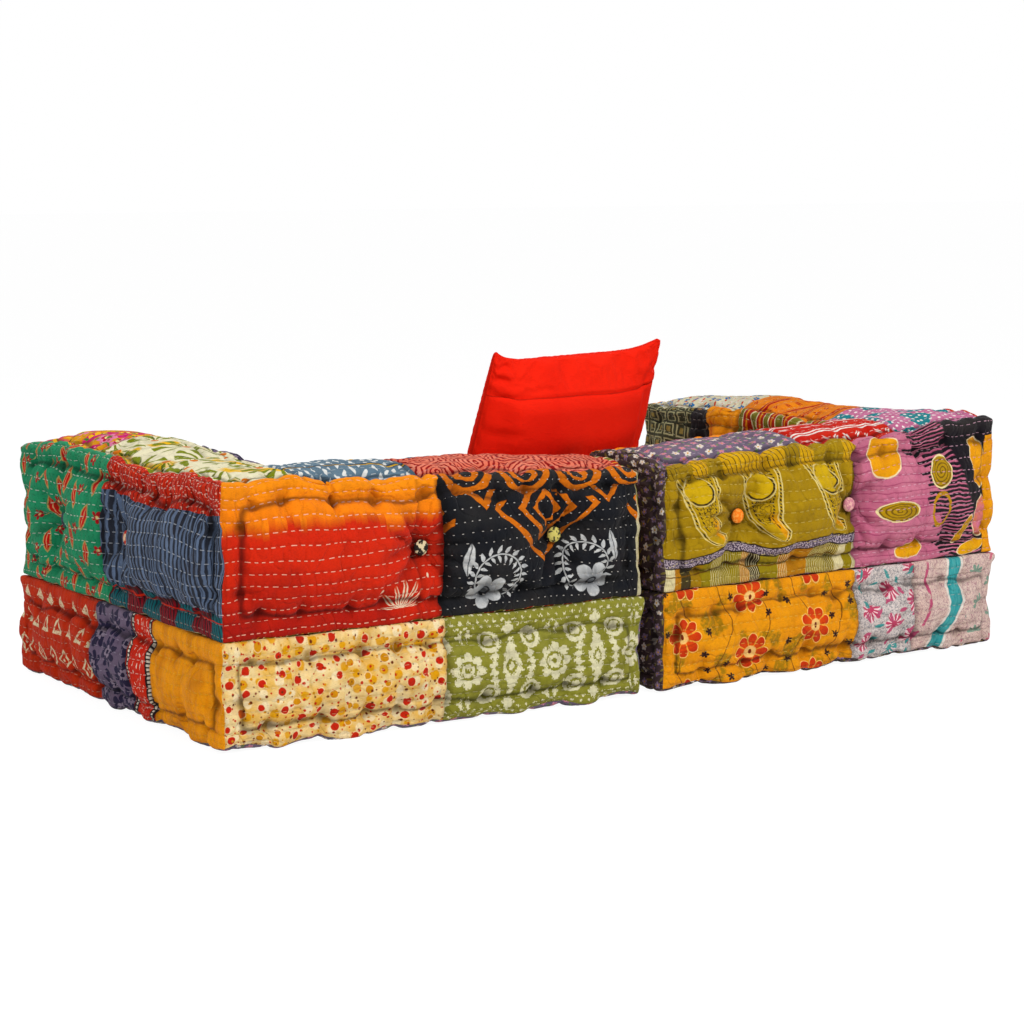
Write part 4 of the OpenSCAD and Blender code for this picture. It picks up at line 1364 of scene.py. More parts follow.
def fanFlowers(c):
    # pale grey pink with rose fans, teal leaves and grey outlines
    u, v = c.unsteady(0.0020, 0.012)
    c.ground(c.noise(u, v, 0.03, 3.0), "c4b8b2", "e2d8d4")
    veil = (c.noise(u, v, 0.010, 2.0, 8.0) - 0.5).near(0.022, 0.010)
    fine = (c.noise(u, v, 0.0052, 1.0, 12.0) - 0.5).near(0.030, 0.012)
    c.paint(veil.most(fine) * 0.8, "74757a")
    x, y, (r, g, _) = c.cells(u, v - 0.010, 0.050, 0.056, 0.5, 0.010, 4.0)
    x, y = turned(x, y, r * 6.0)
    away, turn = polar(x, y)
    fan = petals(x, y, 0.0205, 6, 0.55) * x.above(-0.006)
    rose = c.mix(g.above(0.75, 0.01), "bd5a70", "5a9c98")
    c.paint(fan, rose)
    c.paint(fan * (turn * 12.0).math("SINE").above(0.35, 0.2) * away.above(0.006), "f0d4d6")
    x, y, (r, g, b) = c.cells(u + 0.02, v + 0.02, 0.025, 0.024, 0.5, 0.008, 5.0)
    x, y = turned(x, y, g * 6.0)
    leaves = leaf(x, y, 0.0092, 0.0032) * r.above(0.25, 0.01)
    c.paint(leaves, c.mix(b.above(0.5, 0.01), "4f9391", "b8607a"))


def tealRiver(c):
    # pale pink beige with scribbled lines, a bending teal band and grey green sprigs
    u, v = c.unsteady(0.0022, 0.012)
    scribble = (c.noise(u, v, 0.0085, 2.0) - 0.5).near(0.020, 0.012)
    ground = c.mix(c.noise(u, v, 0.03, 2.0, 3.0), "cfb2a6", "e0cdc2")
    fine = (c.noise(u, v, 0.0048, 1.0, 12.0) - 0.5).near(0.024, 0.012)
    c.ground(scribble.most(fine) * 0.8, ground, "9c7480")
    side = c.u + (0.085 - v).most(0.0) * 0.45 + v.wave(0.09) * 0.002
    river = (side - 0.090).near(0.0125, 0.0008)
    water = c.noise(side, v * 0.2, 0.004, 1.0, 3.0)
    c.paint(river, c.mix(water, "1f7c84", "62b0ae"))
    c.paint((abs(side - 0.090) - 0.0150).near(0.0022), "e2dad0")
    c.paint((side - 0.028).near(0.0030) * c.noise(u, v, 0.02, 1.0, 5.0).above(0.42, 0.05), "b8607a")
    x, y, (r, g, _) = c.cells(u - 0.118, v, 0.046, 0.052, 0.5, 0.01, 4.0)
    x, y = turned(x, y, r * 2.0 + 0.5)
    fan = petals(x, y, 0.017, 9, 0.30) * x.above(0.0)
    c.paint(fan * c.u.above(0.110) * 0.8, c.mix(g.above(0.6, 0.01), "5f8f7c", "c4607a"))


def palmStrokes(c):
    # cream with olive leaf strokes and touches of yellow
    u, v = c.unsteady(0.002, 0.016)
    c.ground(c.noise(u, v, 0.05, 2.0).above(0.60, 0.05), "e6dfc0", "e8b53c")
    x, y, (r, _, _) = c.cells(u, v, 0.070, 0.060, 0.5, 0.012, 3.0)
    x, y = turned(x, y, r * 5.0)
    away, turn = polar(x + 0.022, y)
    blades = (turn * 11.0).math("SINE").above(0.1, 0.2) * away.below(0.050) * away.above(0.008)
    blades = blades * turn.near(1.25, 0.1)
    c.paint(blades, "77802a")
    c.paint(leaf(x, y, 0.028, 0.0016), "4f5a1a")
    c.paint(disc(x + 0.022, y, 0.006), "d9741c")


def whiteStrokes(c):
    # blue grey with rows of short white strokes
    u, v = c.unsteady(0.002, 0.014)
    c.ground(c.noise(u, v, 0.03, 3.0), "4f6576", "6d8493")
    x, y, (r, _, _) = c.cells(u, v, 0.017, 0.024, 0.5, 0.004, 2.0)
    x, y = turned(x, y, r * 0.9 + 0.9)
    c.paint(leaf(x, y, 0.0105, 0.0030), "dfe0dc")
    c.paint((v / 0.072).part().below(0.14, 0.01), "2c3b4c")
    c.paint(((v / 0.072).part() - 0.07).near(0.02, 0.01), "c9a24a")


def coralMaze(c):
    # pale lines that wander over coral red
    u, v = c.unsteady(0.004, 0.016)
    x, y, _ = c.cells(u, v, 0.075, 0.060, 0.5, 0.010, 2.0)
    square = abs(x).most(abs(y)) * 0.5 + (abs(x) + abs(y)) * 0.35
    lines = (square / 0.0068).part()
    c.ground(c.noise(u, v, 0.04, 2.0, 3.0), "d9705e", "ea9c88")
    c.paint((lines - 0.5).near(0.20, 0.06), "8f2426")


def orchard(c):
    # pink and orange yellow flowers, crowded together
    u, v = c.unsteady(0.002, 0.014)
    c.ground(c.noise(u, v, 0.04, 2.0).above(0.5, 0.04), "d9951f", "c9487a")
    x, y, (r, g, _) = c.cells(u, v, 0.040, 0.040, 0.5, 0.012, 2.0)
    tint = c.mix(g.above(0.5, 0.01), "f0b93a", "e58fb0")
    c.paint(petals(x, y, 0.0165, 6, 0.5, r * 3.0), tint)
    c.paint(petals(x, y, 0.0085, 6, 0.4, r * 3.0), "b3263c")
    c.paint(disc(x, y, 0.0030), "f3e2a0")
    x, y, (r, _, _) = c.cells(u + 0.02, v + 0.01, 0.020, 0.020, 0.5, 0.008, 5.0)
    x, y = turned(x, y, r * 6.0)
    c.paint(leaf(x, y, 0.0065, 0.0022), "4d7a3a")


def tinyFloral(c, ground="5e5264", second="776a7c", bloom="c98aa0", green="6f7f5a"):
    u, v = c.unsteady(0.0012, 0.01)
    c.ground(c.noise(u, v, 0.04, 3.0), ground, second)
    x, y, (r, g, _) = c.cells(u, v, 0.019, 0.019, 0.5, 0.006, 2.0)
    c.paint(petals(x, y, 0.0060, 5, 0.4, r * 3.0), c.mix(g.above(0.6, 0.01), bloom, "e0d6cc"))
    c.paint(disc(x, y, 0.0014), "d9a03a")
    x, y, (r, _, _) = c.cells(u + 0.009, v + 0.004, 0.019, 0.019, 0.5, 0.004, 6.0)
    x, y = turned(x, y, r * 6.0)
    c.paint(leaf(x, y, 0.0055, 0.0018), green)


def redMarks(c, ground="b81c1c", second="cf3626", mark="efe4dc"):
    # red with white hatch marks and stripes
    u, v = c.unsteady(0.0015, 0.012)
    c.ground(c.noise(u, v, 0.03, 3.0), ground, second)
    stripes = (v / 0.052).part()
    c.paint((stripes - 0.12).near(0.035, 0.01) + (stripes - 0.24).near(0.035, 0.01), mark)
    x, y, (r, _, _) = c.cells(u, v, 0.022, 0.026, 0.0, 0.004, 2.0)
    x, y = turned(x, y, r.above(0.5, 0.01) * 1.5 + 0.7)
    marks = (leaf(x, y, 0.009, 0.0014) + leaf(x, y - 0.004, 0.006, 0.0012)) * stripes.above(0.34, 0.01)
    c.paint(marks.least(1.0), mark)


def pinkDots(c):
    u, v = c.unsteady(0.001, 0.01)
    c.ground(c.noise(u, v, 0.04, 3.0), "b8668a", "cc8ca8")
    c.paint(c.noise(u, v, 0.06, 1.0, 4.0).above(0.58, 0.01), "2d7c84")
    x, y, _ = c.cells(u, v, 0.013, 0.013, 0.5, 0.0)
    c.paint(disc(x, y, 0.0026), "f0e6e2")


def orangeMarks(c):
    redMarks(c, "d9701a", "e88c2c", "a81e1e")


def skyBlooms(c):
    tinyFloral(c, "d9d2ba", "c9c2a2", "3f6fa0", "c2452e")


def plumBlooms(c):
    tinyFloral(c)


def umberBlooms(c):
    tinyFloral(c, "33261f", "4a3a40", "8c7690", "776a3a")


def leafBlooms(c):
    tinyFloral(c, "3d5a2c", "57753a", "e0b23c", "d9d2a0")


def oliveSquares(c):
    # dark grey olive with rows of hollow squares
    u, v = c.unsteady(0.0008, 0.012)
    x, y, (r, _, _) = c.cells(u, v, 0.026, 0.026, 0.0, 0.0, 2.0)
    edge = abs(x).most(abs(y))
    c.ground(c.noise(u, v, 0.03, 3.0), "2e2e22", "45452f")
    c.paint((edge - 0.0092).near(0.0012), "a8a27c")
    c.paint(edge.below(0.0042) * r.above(0.3, 0.01), "8c7a4a")


def oliveStripes(c):
    # olive and red stripes with thin cream lines
    across = c.u + (c.grain(0.04) - 0.5) * 0.006
    stripe = (across / 0.034).part()
    c.ground(stripe.above(0.5, 0.01), "77702a", "a32a1c")
    c.paint((stripe - 0.5).near(0.04, 0.01) + (stripe - 0.02).near(0.03, 0.01), "e3d6b0")
    c.paint((stripe - 0.75).near(0.05, 0.01), "d9861c")


def inkBlack(c):
    u, v = c.unsteady(0.001, 0.012)
    x, y, (r, _, _) = c.cells(u, v, 0.030, 0.030, 0.5, 0.004)
    c.ground(c.noise(u, v, 0.03, 3.0), "100d10", "201a1e")
    c.paint(petals(x, y, 0.0055, 6, 0.3) * r.above(0.4, 0.01), "8c6a4a")


def saffronDye(c):
    soft = c.grain(0.05, 3.0)
    c.ground(soft, "e07a10", "f3a322")
    c.paint(c.noise(c.u, c.v * 0.3, 0.02, 2.0, 4.0).above(0.60, 0.05) * 0.6, "c23a1c")


def clothMaterials():
    # every patch's cloth: its print, and the colour of the thread that quilts it
    table = {
        sunsetDye: ("f6c4b0", 0.85), nightChevrons: ("d9d4cc", 0.75), greenBuds: ("dfe8da", 0.7),
        gatheredRed: ("f2d4cc", 0.7), slateStripes: ("c9ced6", 0.55), hemStripes: ("d9b8ac", 0.4),
        diamondTrellis: ("ecd2b8", 0.35), inkFlowers: ("b3a8bb", 0.4), borderedRed: ("f4cfc4", 0.6),
        mustardSlub: ("f6d48c", 0.4), confetti: ("f6e8c4", 0.3), oliveIkat: ("eee8cc", 0.25),
        hangingDrops: ("e3d08c", 0.45), rosePlumes: ("ecc0d0", 0.5), marigolds: ("f6d48c", 0.45),
        fanFlowers: ("c9bcbc", 0.3), tealRiver: ("d6c4be", 0.3), palmStrokes: ("efe9d0", 0.5),
        whiteStrokes: ("e6e8e6", 0.5), coralMaze: ("f0c8b8", 0.3), orchard: ("f2dcc8", 0.5),
        plumBlooms: ("cfc4cf", 0.4), redMarks: ("f2e2da", 0.5), pinkDots: ("f2dce2", 0.5),
        orangeMarks: ("f6dcb4", 0.5), skyBlooms: ("eee8d8", 0.5), umberBlooms: ("b8a894", 0.4),
        leafBlooms: ("e2e0b8", 0.5), oliveSquares: ("c9c4a0", 0.5), oliveStripes: ("e6dcb4", 0.5),
        inkBlack: ("b8aca4", 0.5), saffronDye: ("f6d8a0", 0.5),
    }
    made = {}
    for draw, (thread, show) in table.items():
        c = Cloth(draw.__name__)
        c.u, c.v = c.map("print")
        draw(c)
        share = 0.20 if draw is nightChevrons else 0.52     # of a stitch's pitch that shows thread
        made[draw.__name__] = finishQuilt(c, thread, show, share)
    return made


# Which cloth lies where: on each panel, patches from left to right and bottom to top, in metres
patchwork = {
    "left_seat": {
        "rear": [(0, 0.354, 0, 1, "confetti"), (0.354, 1, 0, 1, "oliveIkat")],
        "arm": [(0, 0.295, 0, 1, "diamondTrellis"), (0.295, 0.418, 0, 1, "inkFlowers"),
                (0.418, 0.490, 0, 1, "borderedRed"), (0.490, 1, 0, 1, "mustardSlub")],
        "front": [(0, 0.354, 0, 1, "marigolds"), (0.354, 1, 0, 1, "skyBlooms")],
        "top": [(0, 0.354, 0, 0.354, "saffronDye"), (0.354, 1, 0, 0.354, "coralMaze"),
                (0, 0.354, 0.354, 1, "leafBlooms"), (0.354, 1, 0.354, 1, "confetti")],
        "other": [(0, 1, 0, 1, "plumBlooms")],
    },
    "left_bolster": {
        "rear": [(0, 0.354, 0, 1, "sunsetDye"), (0.354, 1, 0, 1, "nightChevrons")],
        "arm": [(0, 0.338, 0, 1, "greenBuds"), (0.338, 1, 0, 0.040, "hemStripes"),
                (0.338, 1, 0.040, 0.170, "slateStripes"), (0.338, 1, 0.170, 1, "gatheredRed")],
        "top": [(0, 0.132, 0, 0.455, "palmStrokes"), (0.132, 0.332, 0, 0.300, "whiteStrokes"),
                (0.132, 0.332, 0.150, 0.455, "palmStrokes"), (0.332, 1, 0, 1, "coralMaze"),
                (0, 0.332, 0.455, 1, "orchard")],
        "front": [(0, 1, 0, 1, "orchard")],
        "backInside": [(0, 0.250, 0, 1, "redMarks"), (0.250, 1, 0, 1, "slateStripes")],
        "armInside": [(0, 0.250, 0, 1, "orangeMarks"), (0.250, 1, 0, 1, "inkFlowers")],
        "other": [(0, 1, 0, 1, "oliveStripes")],
    },
    "right_seat": {
        "rear": [(0, 0.388, 0, 1, "marigolds"), (0.388, 0.515, 0, 1, "fanFlowers"),
                 (0.515, 1, 0, 1, "tealRiver")],
        "arm": [(0, 0.354, 0, 1, "diamondTrellis"), (0.354, 1, 0, 1, "inkBlack")],
        "front": [(0, 0.354, 0, 1, "greenBuds"), (0.354, 1, 0, 1, "confetti")],
        "top": [(0, 0.354, 0, 0.354, "whiteStrokes"), (0.354, 1, 0, 0.354, "pinkDots"),
                (0, 0.354, 0.354, 1, "redMarks"), (0.354, 1, 0.354, 1, "marigolds")],
        "other": [(0, 1, 0, 1, "umberBlooms")],
    },
    "right_bolster": {
        "rear": [(0, 0.386, 0, 1, "hangingDrops"), (0.386, 1, 0, 1, "rosePlumes")],
        "arm": [(0, 0.354, 0, 0.110, "slateStripes"), (0, 0.354, 0.110, 1, "gatheredRed"),
                (0.354, 1, 0, 1, "confetti")],
        "top": [(0, 0.300, 0, 1, "plumBlooms"), (0.300, 0.500, 0, 0.240, "redMarks"),
                (0.500, 1, 0, 0.240, "pinkDots"), (0.300, 1, 0.240, 0.455, "orangeMarks"),
                (0.300, 1, 0.455, 1, "skyBlooms")],
        "front": [(0, 1, 0, 1, "saffronDye")],
        "backInside": [(0, 0.250, 0, 1, "oliveIkat"), (0.250, 1, 0, 1, "sunsetDye")],
        "armInside": [(0, 0.140, 0, 1, "oliveSquares"), (0.140, 0.190, 0, 1, "inkBlack"),
                      (0.190, 0.270, 0, 1, "saffronDye"), (0.270, 1, 0, 1, "oliveStripes")],
        "other": [(0, 1, 0, 1, "umberBlooms")],
    },
}


# How far the sides' cloths reach over the rims of the top and the base
wraps = {
    "seat": {"top": 0.050, "base": 0.050},
    "bolster": {"top": 0.014, "base": 0.050},
}


def addPiece(name, mesh):
    piece = bpy.data.objects.new(name, mesh)
    bpy.context.scene.collection.objects.link(piece)
    return piece


def divided(piece):
    # one smooth division, kept as a mesh
    divide = piece.modifiers.new("divide", "SUBSURF")
    divide.levels = divide.render_levels = 1
    divide.uv_smooth = "NONE"
    graph = bpy.context.evaluated_depsgraph_get()
    mesh = bpy.data.meshes.new_from_object(piece.evaluated_get(graph))
    piece.modifiers.clear()
    return mesh


# The filling's push on a cover, as a short cloth simulation with its creases and tufts held: slack is
# how much wider the cloth is than its flat cut, cap is the furthest that a point may move, and outward
# the furthest out. A point that is pinned harder than free doesn't move.
settling = {
    "quality": 4,
    "mass": 0.3,
    "stretch": 14,
    "shear": 6,
    "pinLevels": 10,
    "cushion": {"frames": 14, "pressure": 3.5, "slack": 0.035, "bend": 0.4,
                "cap": 0.0065, "outward": 0.0045, "free": 0.95},
    "pillow": {"frames": 12, "pressure": 1.6, "slack": 0.03, "bend": 0.2,
               "cap": 0.004, "outward": 0.0025, "free": 0.9},
}


def settle(piece, held, how):
    # how far each point moves when the filling pushes the cloth out between its pins
    start, levels = readPoints(piece.data), settling["pinLevels"]
    group = piece.vertex_groups.new(name="pins")
    for level in range(1, levels + 1):
        picked = np.flatnonzero(np.round(held * levels) == level)
        if len(picked):
            group.add(picked.tolist(), level / levels, "REPLACE")
    modifier = piece.modifiers.new("settle", "CLOTH")
    cloth = modifier.settings
    cloth.quality = settling["quality"]
    cloth.mass = settling["mass"]
    cloth.tension_stiffness = cloth.compression_stiffness = settling["stretch"]
    cloth.shear_stiffness = settling["shear"]
    cloth.bending_stiffness = how["bend"]
    cloth.vertex_group_mass = "pins"
    cloth.shrink_min = cloth.shrink_max = -how["slack"]
    cloth.use_pressure = True
    cloth.uniform_pressure_force = how["pressure"]
    cloth.effector_weights.gravity = 0
    modifier.collision_settings.use_collision = False
    modifier.point_cache.frame_start, modifier.point_cache.frame_end = 1, how["frames"]
    for number in range(1, how["frames"] + 1):
        bpy.context.scene.frame_set(number)
    graph = bpy.context.evaluated_depsgraph_get()
    moved = readPoints(piece.evaluated_get(graph).data) - start
    piece.modifiers.remove(modifier)
    piece.vertex_groups.remove(group)
    bpy.context.scene.frame_set(1)
    return moved


def puff(piece, held, how):
    # lets the cloth settle, within its caps
    mesh = piece.data
    moved, normals = settle(piece, held, how), readNormals(mesh)
    share = np.minimum(1, how["cap"] / np.maximum(np.linalg.norm(moved, axis=1), tiny))
    moved = moved * (share * (held < how["free"]))[:, None]
    out = (moved * normals).sum(1)
    moved = moved - normals * np.maximum(out - how["outward"], 0)[:, None]
    writePoints(mesh, readPoints(mesh) + moved)
    mean = np.linalg.norm(moved, axis=1).mean() * 1000
    print(f"settled: {piece.name}, mean move {mean:.2f} mm")


def makeCover(kind, right, cloths, seed):
    cushion = Cushion(kind, right, seed)
    handed = cushion.handed
    cushion.dress(patchwork[f"{handed}_{kind}"], cloths)
    cushion.fill()
    piece = addPiece(cushion.name, cushion.mesh)
    puff(piece, cushion.pins(), settling["cushion"])
    mesh = divided(piece)
    cushion.detail(mesh)
    points = intoSofa(readPoints(mesh), right)
    points[:, 2] = np.maximum(points[:, 2], 0)
    writePoints(mesh, points)
    if right:
        mesh.flip_normals()
    mesh.shade_smooth()
    piece.data = mesh
    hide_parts(f"{handed}_{kind}_cover")
    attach(piece, f"{handed}_module")
    print("cover made:", piece.name, len(mesh.polygons), "faces")
    return cushion


cloths = clothMaterials()
print("prints made:", len(cloths))
cushions = []
for number, (kind, right) in enumerate((k, r) for r in (False, True) for k in ("seat", "bolster")):
    cushions.append(makeCover(kind, right, cloths, 11 + number))

# Cloth-covered buttons, each with its own scrap of print, one behind the other on the same twine
button = {
    "profile": ((0.0008, 0.0), (0.0012, 0.0022), (0.0040, 0.0074), (0.0062, 0.0102), (0.0080, 0.0114),
                (0.0099, 0.0110), (0.0117, 0.0084), (0.0129, 0.0044), (0.0132, 0.0)),
    "steps": 28,
    "scraps": {
        "left_bolster": ("mottledBlack", "paleSpots", "redBud", "deepSlate"),
        "right_bolster": ("rosePlain", "orangePlain", "mottledBlack", "paleSpots"),
        "left_seat": ("orangePlain", "redBud", "paleSpots", "rosePlain", "mottledBlack"),
        "right_seat": ("redBud", "paleSpots", "orangePlain", "mottledBlack", "rosePlain"),
    },
    "colours": {
        "mottledBlack": ("1c1814", "d9c9a0"), "paleSpots": ("c9bd62", "3a3620"),
        "redBud": ("b8261c", "e6c29c"), "deepSlate": ("39414f", "141821"),
        "rosePlain": ("c97f8e", "e6b0a6"), "orangePlain": ("ef7a12", "f79a3c"),
    },
}


def scrapMaterials():
    made = {}
    for name, (ground, spot) in button["colours"].items():
        c = Cloth(name)
        spots, thread = c.lumps(190.0, 1.0), c.lumps(900.0, 2.0)
        c.ground(spots.above(0.55, 0.03), ground, spot)
        c.paint((thread - 0.5).most(0.0), (0.0, 0.0, 0.0, 1.0))
        made[name] = c.finish(thread, 0.0004, 0.8, {"Roughness": 0.75, "Specular IOR Level": 0.2})
    return made


def surfacePoint(cushion, face, a, b):
    # the bottom of a tuft on the solid's side, in the module's own frame, and the way out of it
    deep, inset = tufts["deep"], sofa["bolsterIn"]
    if face == "top":
        return Vector((a, b, cushion.high + crownAt(a, b) - deep)), Vector((0, 0, 1))
    if face == "base":
        return Vector((a, b, deep - sofa["floorCut"])), Vector((0, 0, -1))
    flat, end, way = cushion.side, cushion.side - creaseIn, 1
    if face.endswith("Inside"):
        flat, end, way = legInside, legInside, -1
    out = sofa["bolsterBelly"] * domeOver(a, creaseIn, end) ** 0.7 - deep
    place = (inset + a, inset + flat + way * out, bolsterFoot + cushion.high / 2)
    normal = (0, way, 0)
    if face.startswith("arm"):
        place, normal = (place[1], place[0], place[2]), (way, 0, 0)
    return Vector(place), Vector(normal)


def makeButtons(cushion, scraps):
    form = bmesh.new()
    handed = cushion.handed
    kinds = button["scraps"][f"{handed}_{cushion.kind}"]
    names = sorted(button["colours"])
    if cushion.isL:
        spots = []
        for n, face in enumerate(("rear", "arm", "backInside", "armInside")):
            for m, row in enumerate(reversed(legRows)):
                spots.append((face, row, 0, kinds[(2 * n + m) % len(kinds)]))
    else:
        spots = [(face, a, b, kinds[n]) for face in ("top", "base") for n, (a, b) in enumerate(seatTufts)]
    for panel, a, b, kind in spots:
        place, out = surfacePoint(cushion, panel, a, b)
        profile = [form.verts.new((radius, 0, height)) for height, radius in button["profile"]]
        edges = [form.edges.new(pair) for pair in zip(profile, profile[1:])]
        bmesh.ops.spin(form, geom=profile + edges, cent=(0, 0, 0), axis=(0, 0, 1), angle=2 * math.pi,
                       steps=button["steps"], use_merge=True, use_duplicate=False)
        made = [item for item in form.verts if not item.tag]
        for face in form.faces:
            if not face.tag:
                face.material_index, face.tag, face.smooth = names.index(kind), True, True
        turn = out.to_track_quat("Z", "Y").to_matrix().to_4x4()
        bmesh.ops.transform(form, matrix=Matrix.Translation(place) @ turn, verts=made)
        for vert in made:
            vert.tag = True
    bmesh.ops.remove_doubles(form, verts=form.verts, dist=0.00002)
    bmesh.ops.recalc_face_normals(form, faces=form.faces)
    mesh = meshOf(form, "buttons")
    writePoints(mesh, intoSofa(readPoints(mesh), cushion.right))
    if cushion.right:
        mesh.flip_normals()
    for name in names:
        mesh.materials.append(scraps[name])
    piece = addPiece(f"{handed}_{cushion.kind}_covered_buttons", mesh)
    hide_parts(f"{handed}_{cushion.kind}_buttons")
    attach(piece, f"{handed}_module")


scraps = scrapMaterials()
for cushion in cushions:
    makeButtons(cushion, scraps)
print("buttons made")

# The loose pillow. Its cover folds over the zip, its top is slack and its corners stand up as ears.
pillow = {
    "half": 0.194,
    "waist": 0.012,
    "topWaist": 0.023,
    "sideWaist": 0.003,
    "ears": 5.0,            # how suddenly an edge draws in beside a corner
    "leftEar": 8.0,
    "spread": 0.030,        # how much wider the foot gets under the weight
    "swell": 0.051,
    "power": 0.55,
    "hem": 0.0022,
    "hemGather": 0.0012,    # small gathers beside the seam, and how far in they are
    "hemWide": 0.05,
    "turn": math.radians(14),
    "lean": math.radians(17),
    "slack": 0.020,         # how far the top sinks
    "aside": 0.009,         # and how far the filling has slipped to the sitter's right
    "blunt": 0.007,
    "cells": 96,
    "fillingIn": 0.010,
    "fillingCells": 24,
    "zipUp": 0.062,
    "zipHalf": 0.138,
    "overZip": 0.0100,
    "overSlider": 0.035,    # more of it towards the end where the slider waits
    "overFade": 0.025,      # past both ends of the zip
    "overFlat": 0.018,      # half height of the part that stands proud, and the slopes over and under it
    "overUp": 0.040,
    "overDown": 0.060,
    "foldUp": 0.103,        # the edge of the fold over the zip
    "foldDeep": 0.0035,
    "lip": 0.0022,
    "wrinkle": 0.0016,
    "creases": (            # from, to, half width and depth of the soft folds on the rear
        ((0.186, 0.136), (0.105, 0.118), 0.0060, 0.0040), ((0.182, 0.106), (0.060, 0.108), 0.0055, 0.0034),
        ((0.186, 0.150), (0.150, 0.140), 0.0040, 0.0034), ((0.190, -0.005), (0.110, -0.035), 0.0090, 0.0034),
        ((0.188, 0.050), (0.120, 0.040), 0.0085, 0.0024), ((-0.190, 0.120), (-0.130, 0.100), 0.0080, 0.0026),
        ((-0.188, -0.02), (-0.120, 0.000), 0.0100, 0.0028),
    ),
}


def foldLine(x, z):
    # height over the edge of the fold
    return z - pillow["foldUp"] - 0.0014 * np.sin(16 * x + 0.6)


def pillowDome(flat):
    # a and b run from -1 to 1 across and up the pillow, and the dome from 0 at its seam to 1
    a, b = np.sin(math.pi / 2 * flat[:, 0]), np.sin(math.pi / 2 * flat[:, 1])
    return a, b, ((1 - a * a) * (1 - b * b)) ** pillow["power"]


def seamAway(flat):
    return 1 - np.abs(flat[:, :2]).max(1)


def pillowPlaces(flat, rear, inset):
    # moves the flat cells out to the pillow's two sides
    a, b, dome = pillowDome(flat)
    half = pillow["half"] - inset
    x = a * (half - pillow["sideWaist"] * (1 - np.abs(b) ** pillow["ears"]))
    blunt = pillow["blunt"] * np.abs(a * b) ** 30
    x = x * (1 + pillow["spread"] * (0.5 - 0.5 * b)) - np.sign(a) * blunt - pillow["aside"]
    ears = np.where((a > 0) & (b > 0), pillow["leftEar"], pillow["ears"])
    z = b * (half - np.where(b > 0, pillow["topWaist"], pillow["waist"]) * (1 - np.abs(a) ** ears))
    z = z - np.sign(b) * blunt
    deep = pillow["hem"] + (pillow["swell"] - inset) * dome
    share = np.clip((z + half) / (2 * half), 0, 1)
    z = z - pillow["slack"] * share ** 1.5
    if inset:
        deep = deep * 0.93 - pillow["hem"]
        return np.stack([x, np.where(rear, deep, -deep), z], 1)
    flatCloth = np.stack([0.5 * x, 1.3 * z, np.where(rear, 0.4, 0)], 1)
    calm = np.clip(dome * 1.5, 0, 1) * np.where(rear, 1, dome)
    deep = deep - pillow["wrinkle"] * (1 + ripple(flatCloth, 0.075, 41, 12)) * calm
    across = np.clip((pillow["zipHalf"] + pillow["overFade"] - np.abs(x)) / pillow["overFade"], 0, 1)
    up = z - pillow["zipUp"]
    slope = np.where(up > 0, pillow["overUp"], pillow["overDown"])
    raised = np.clip(1 - (np.abs(up) - pillow["overFlat"]) / slope, 0, 1)
    raised = raised * raised * (3 - 2 * raised) * across * across * (3 - 2 * across)
    over = pillow["overZip"] + pillow["overSlider"] * np.clip(x, 0, pillow["zipHalf"])
    return np.stack([x, np.where(rear, deep + over * raised, -deep), z], 1)


def pillowDetail(mesh, flat):
    # the fold, the soft creases that start at its sides and the seam, after the division, with painted shade
    # along the seam
    points, normals = readPoints(mesh), readNormals(mesh)
    x, z, rear = points[:, 0], points[:, 2], flat[:, 2] > 0.5
    edge = seamAway(flat)
    loose = np.clip(edge / 0.10, 0, 1)
    line = foldLine(x, z)
    out = pillow["lip"] * (line > 0) * np.exp(-np.maximum(line, 0) / 0.022)
    out = (out - pillow["foldDeep"] * hump(line + 0.0010, 0.0024)) * rear
    out *= np.clip((edge - 0.08) / 0.34, 0, 1)
    for (x0, z0), (x1, z1), wide, deep in pillow["creases"]:
        length = math.hypot(x1 - x0, z1 - z0)
        ex, ez = (x1 - x0) / length, (z1 - z0) / length
        along = ((x - x0) * ex + (z - z0) * ez) / length
        off = (x - x0) * ez - (z - z0) * ex + 0.004 * np.sin(6 * along)
        fading = np.clip(along + 0.3, 0, 1) * np.clip((1.15 - along) / 0.8, 0, 1)
        out -= 1.4 * deep * fading * hump(off, wide) * rear * np.clip(loose * 2, 0, 1)
        out += 0.5 * deep * fading * hump(off - 1.6 * wide, wide) * rear * loose
    gathered = 0.5 + 0.5 * ripple(points, 0.030, 47)
    out -= pillow["hemGather"] * gathered * hump(edge - pillow["hemWide"], pillow["hemWide"])
    thick = pillow["swell"] * pillowDome(flat)[2]
    out = np.maximum(out, -0.0008 - np.minimum(0.22 * thick, 0.0050))
    writePoints(mesh, points + normals * out[:, None])
    # painted shade along the seam
    keepShare(mesh, "paintedShade", 0.3 * hump(edge, 0.006))
    corners = readAll(mesh.loops, "vertex_index")
    addMap(mesh, "print", np.stack([x, z], 1)[corners])
    addMap(mesh, "rows", np.stack([x, np.where(rear, foldLine(x, z), 0.1)], 1)[corners])


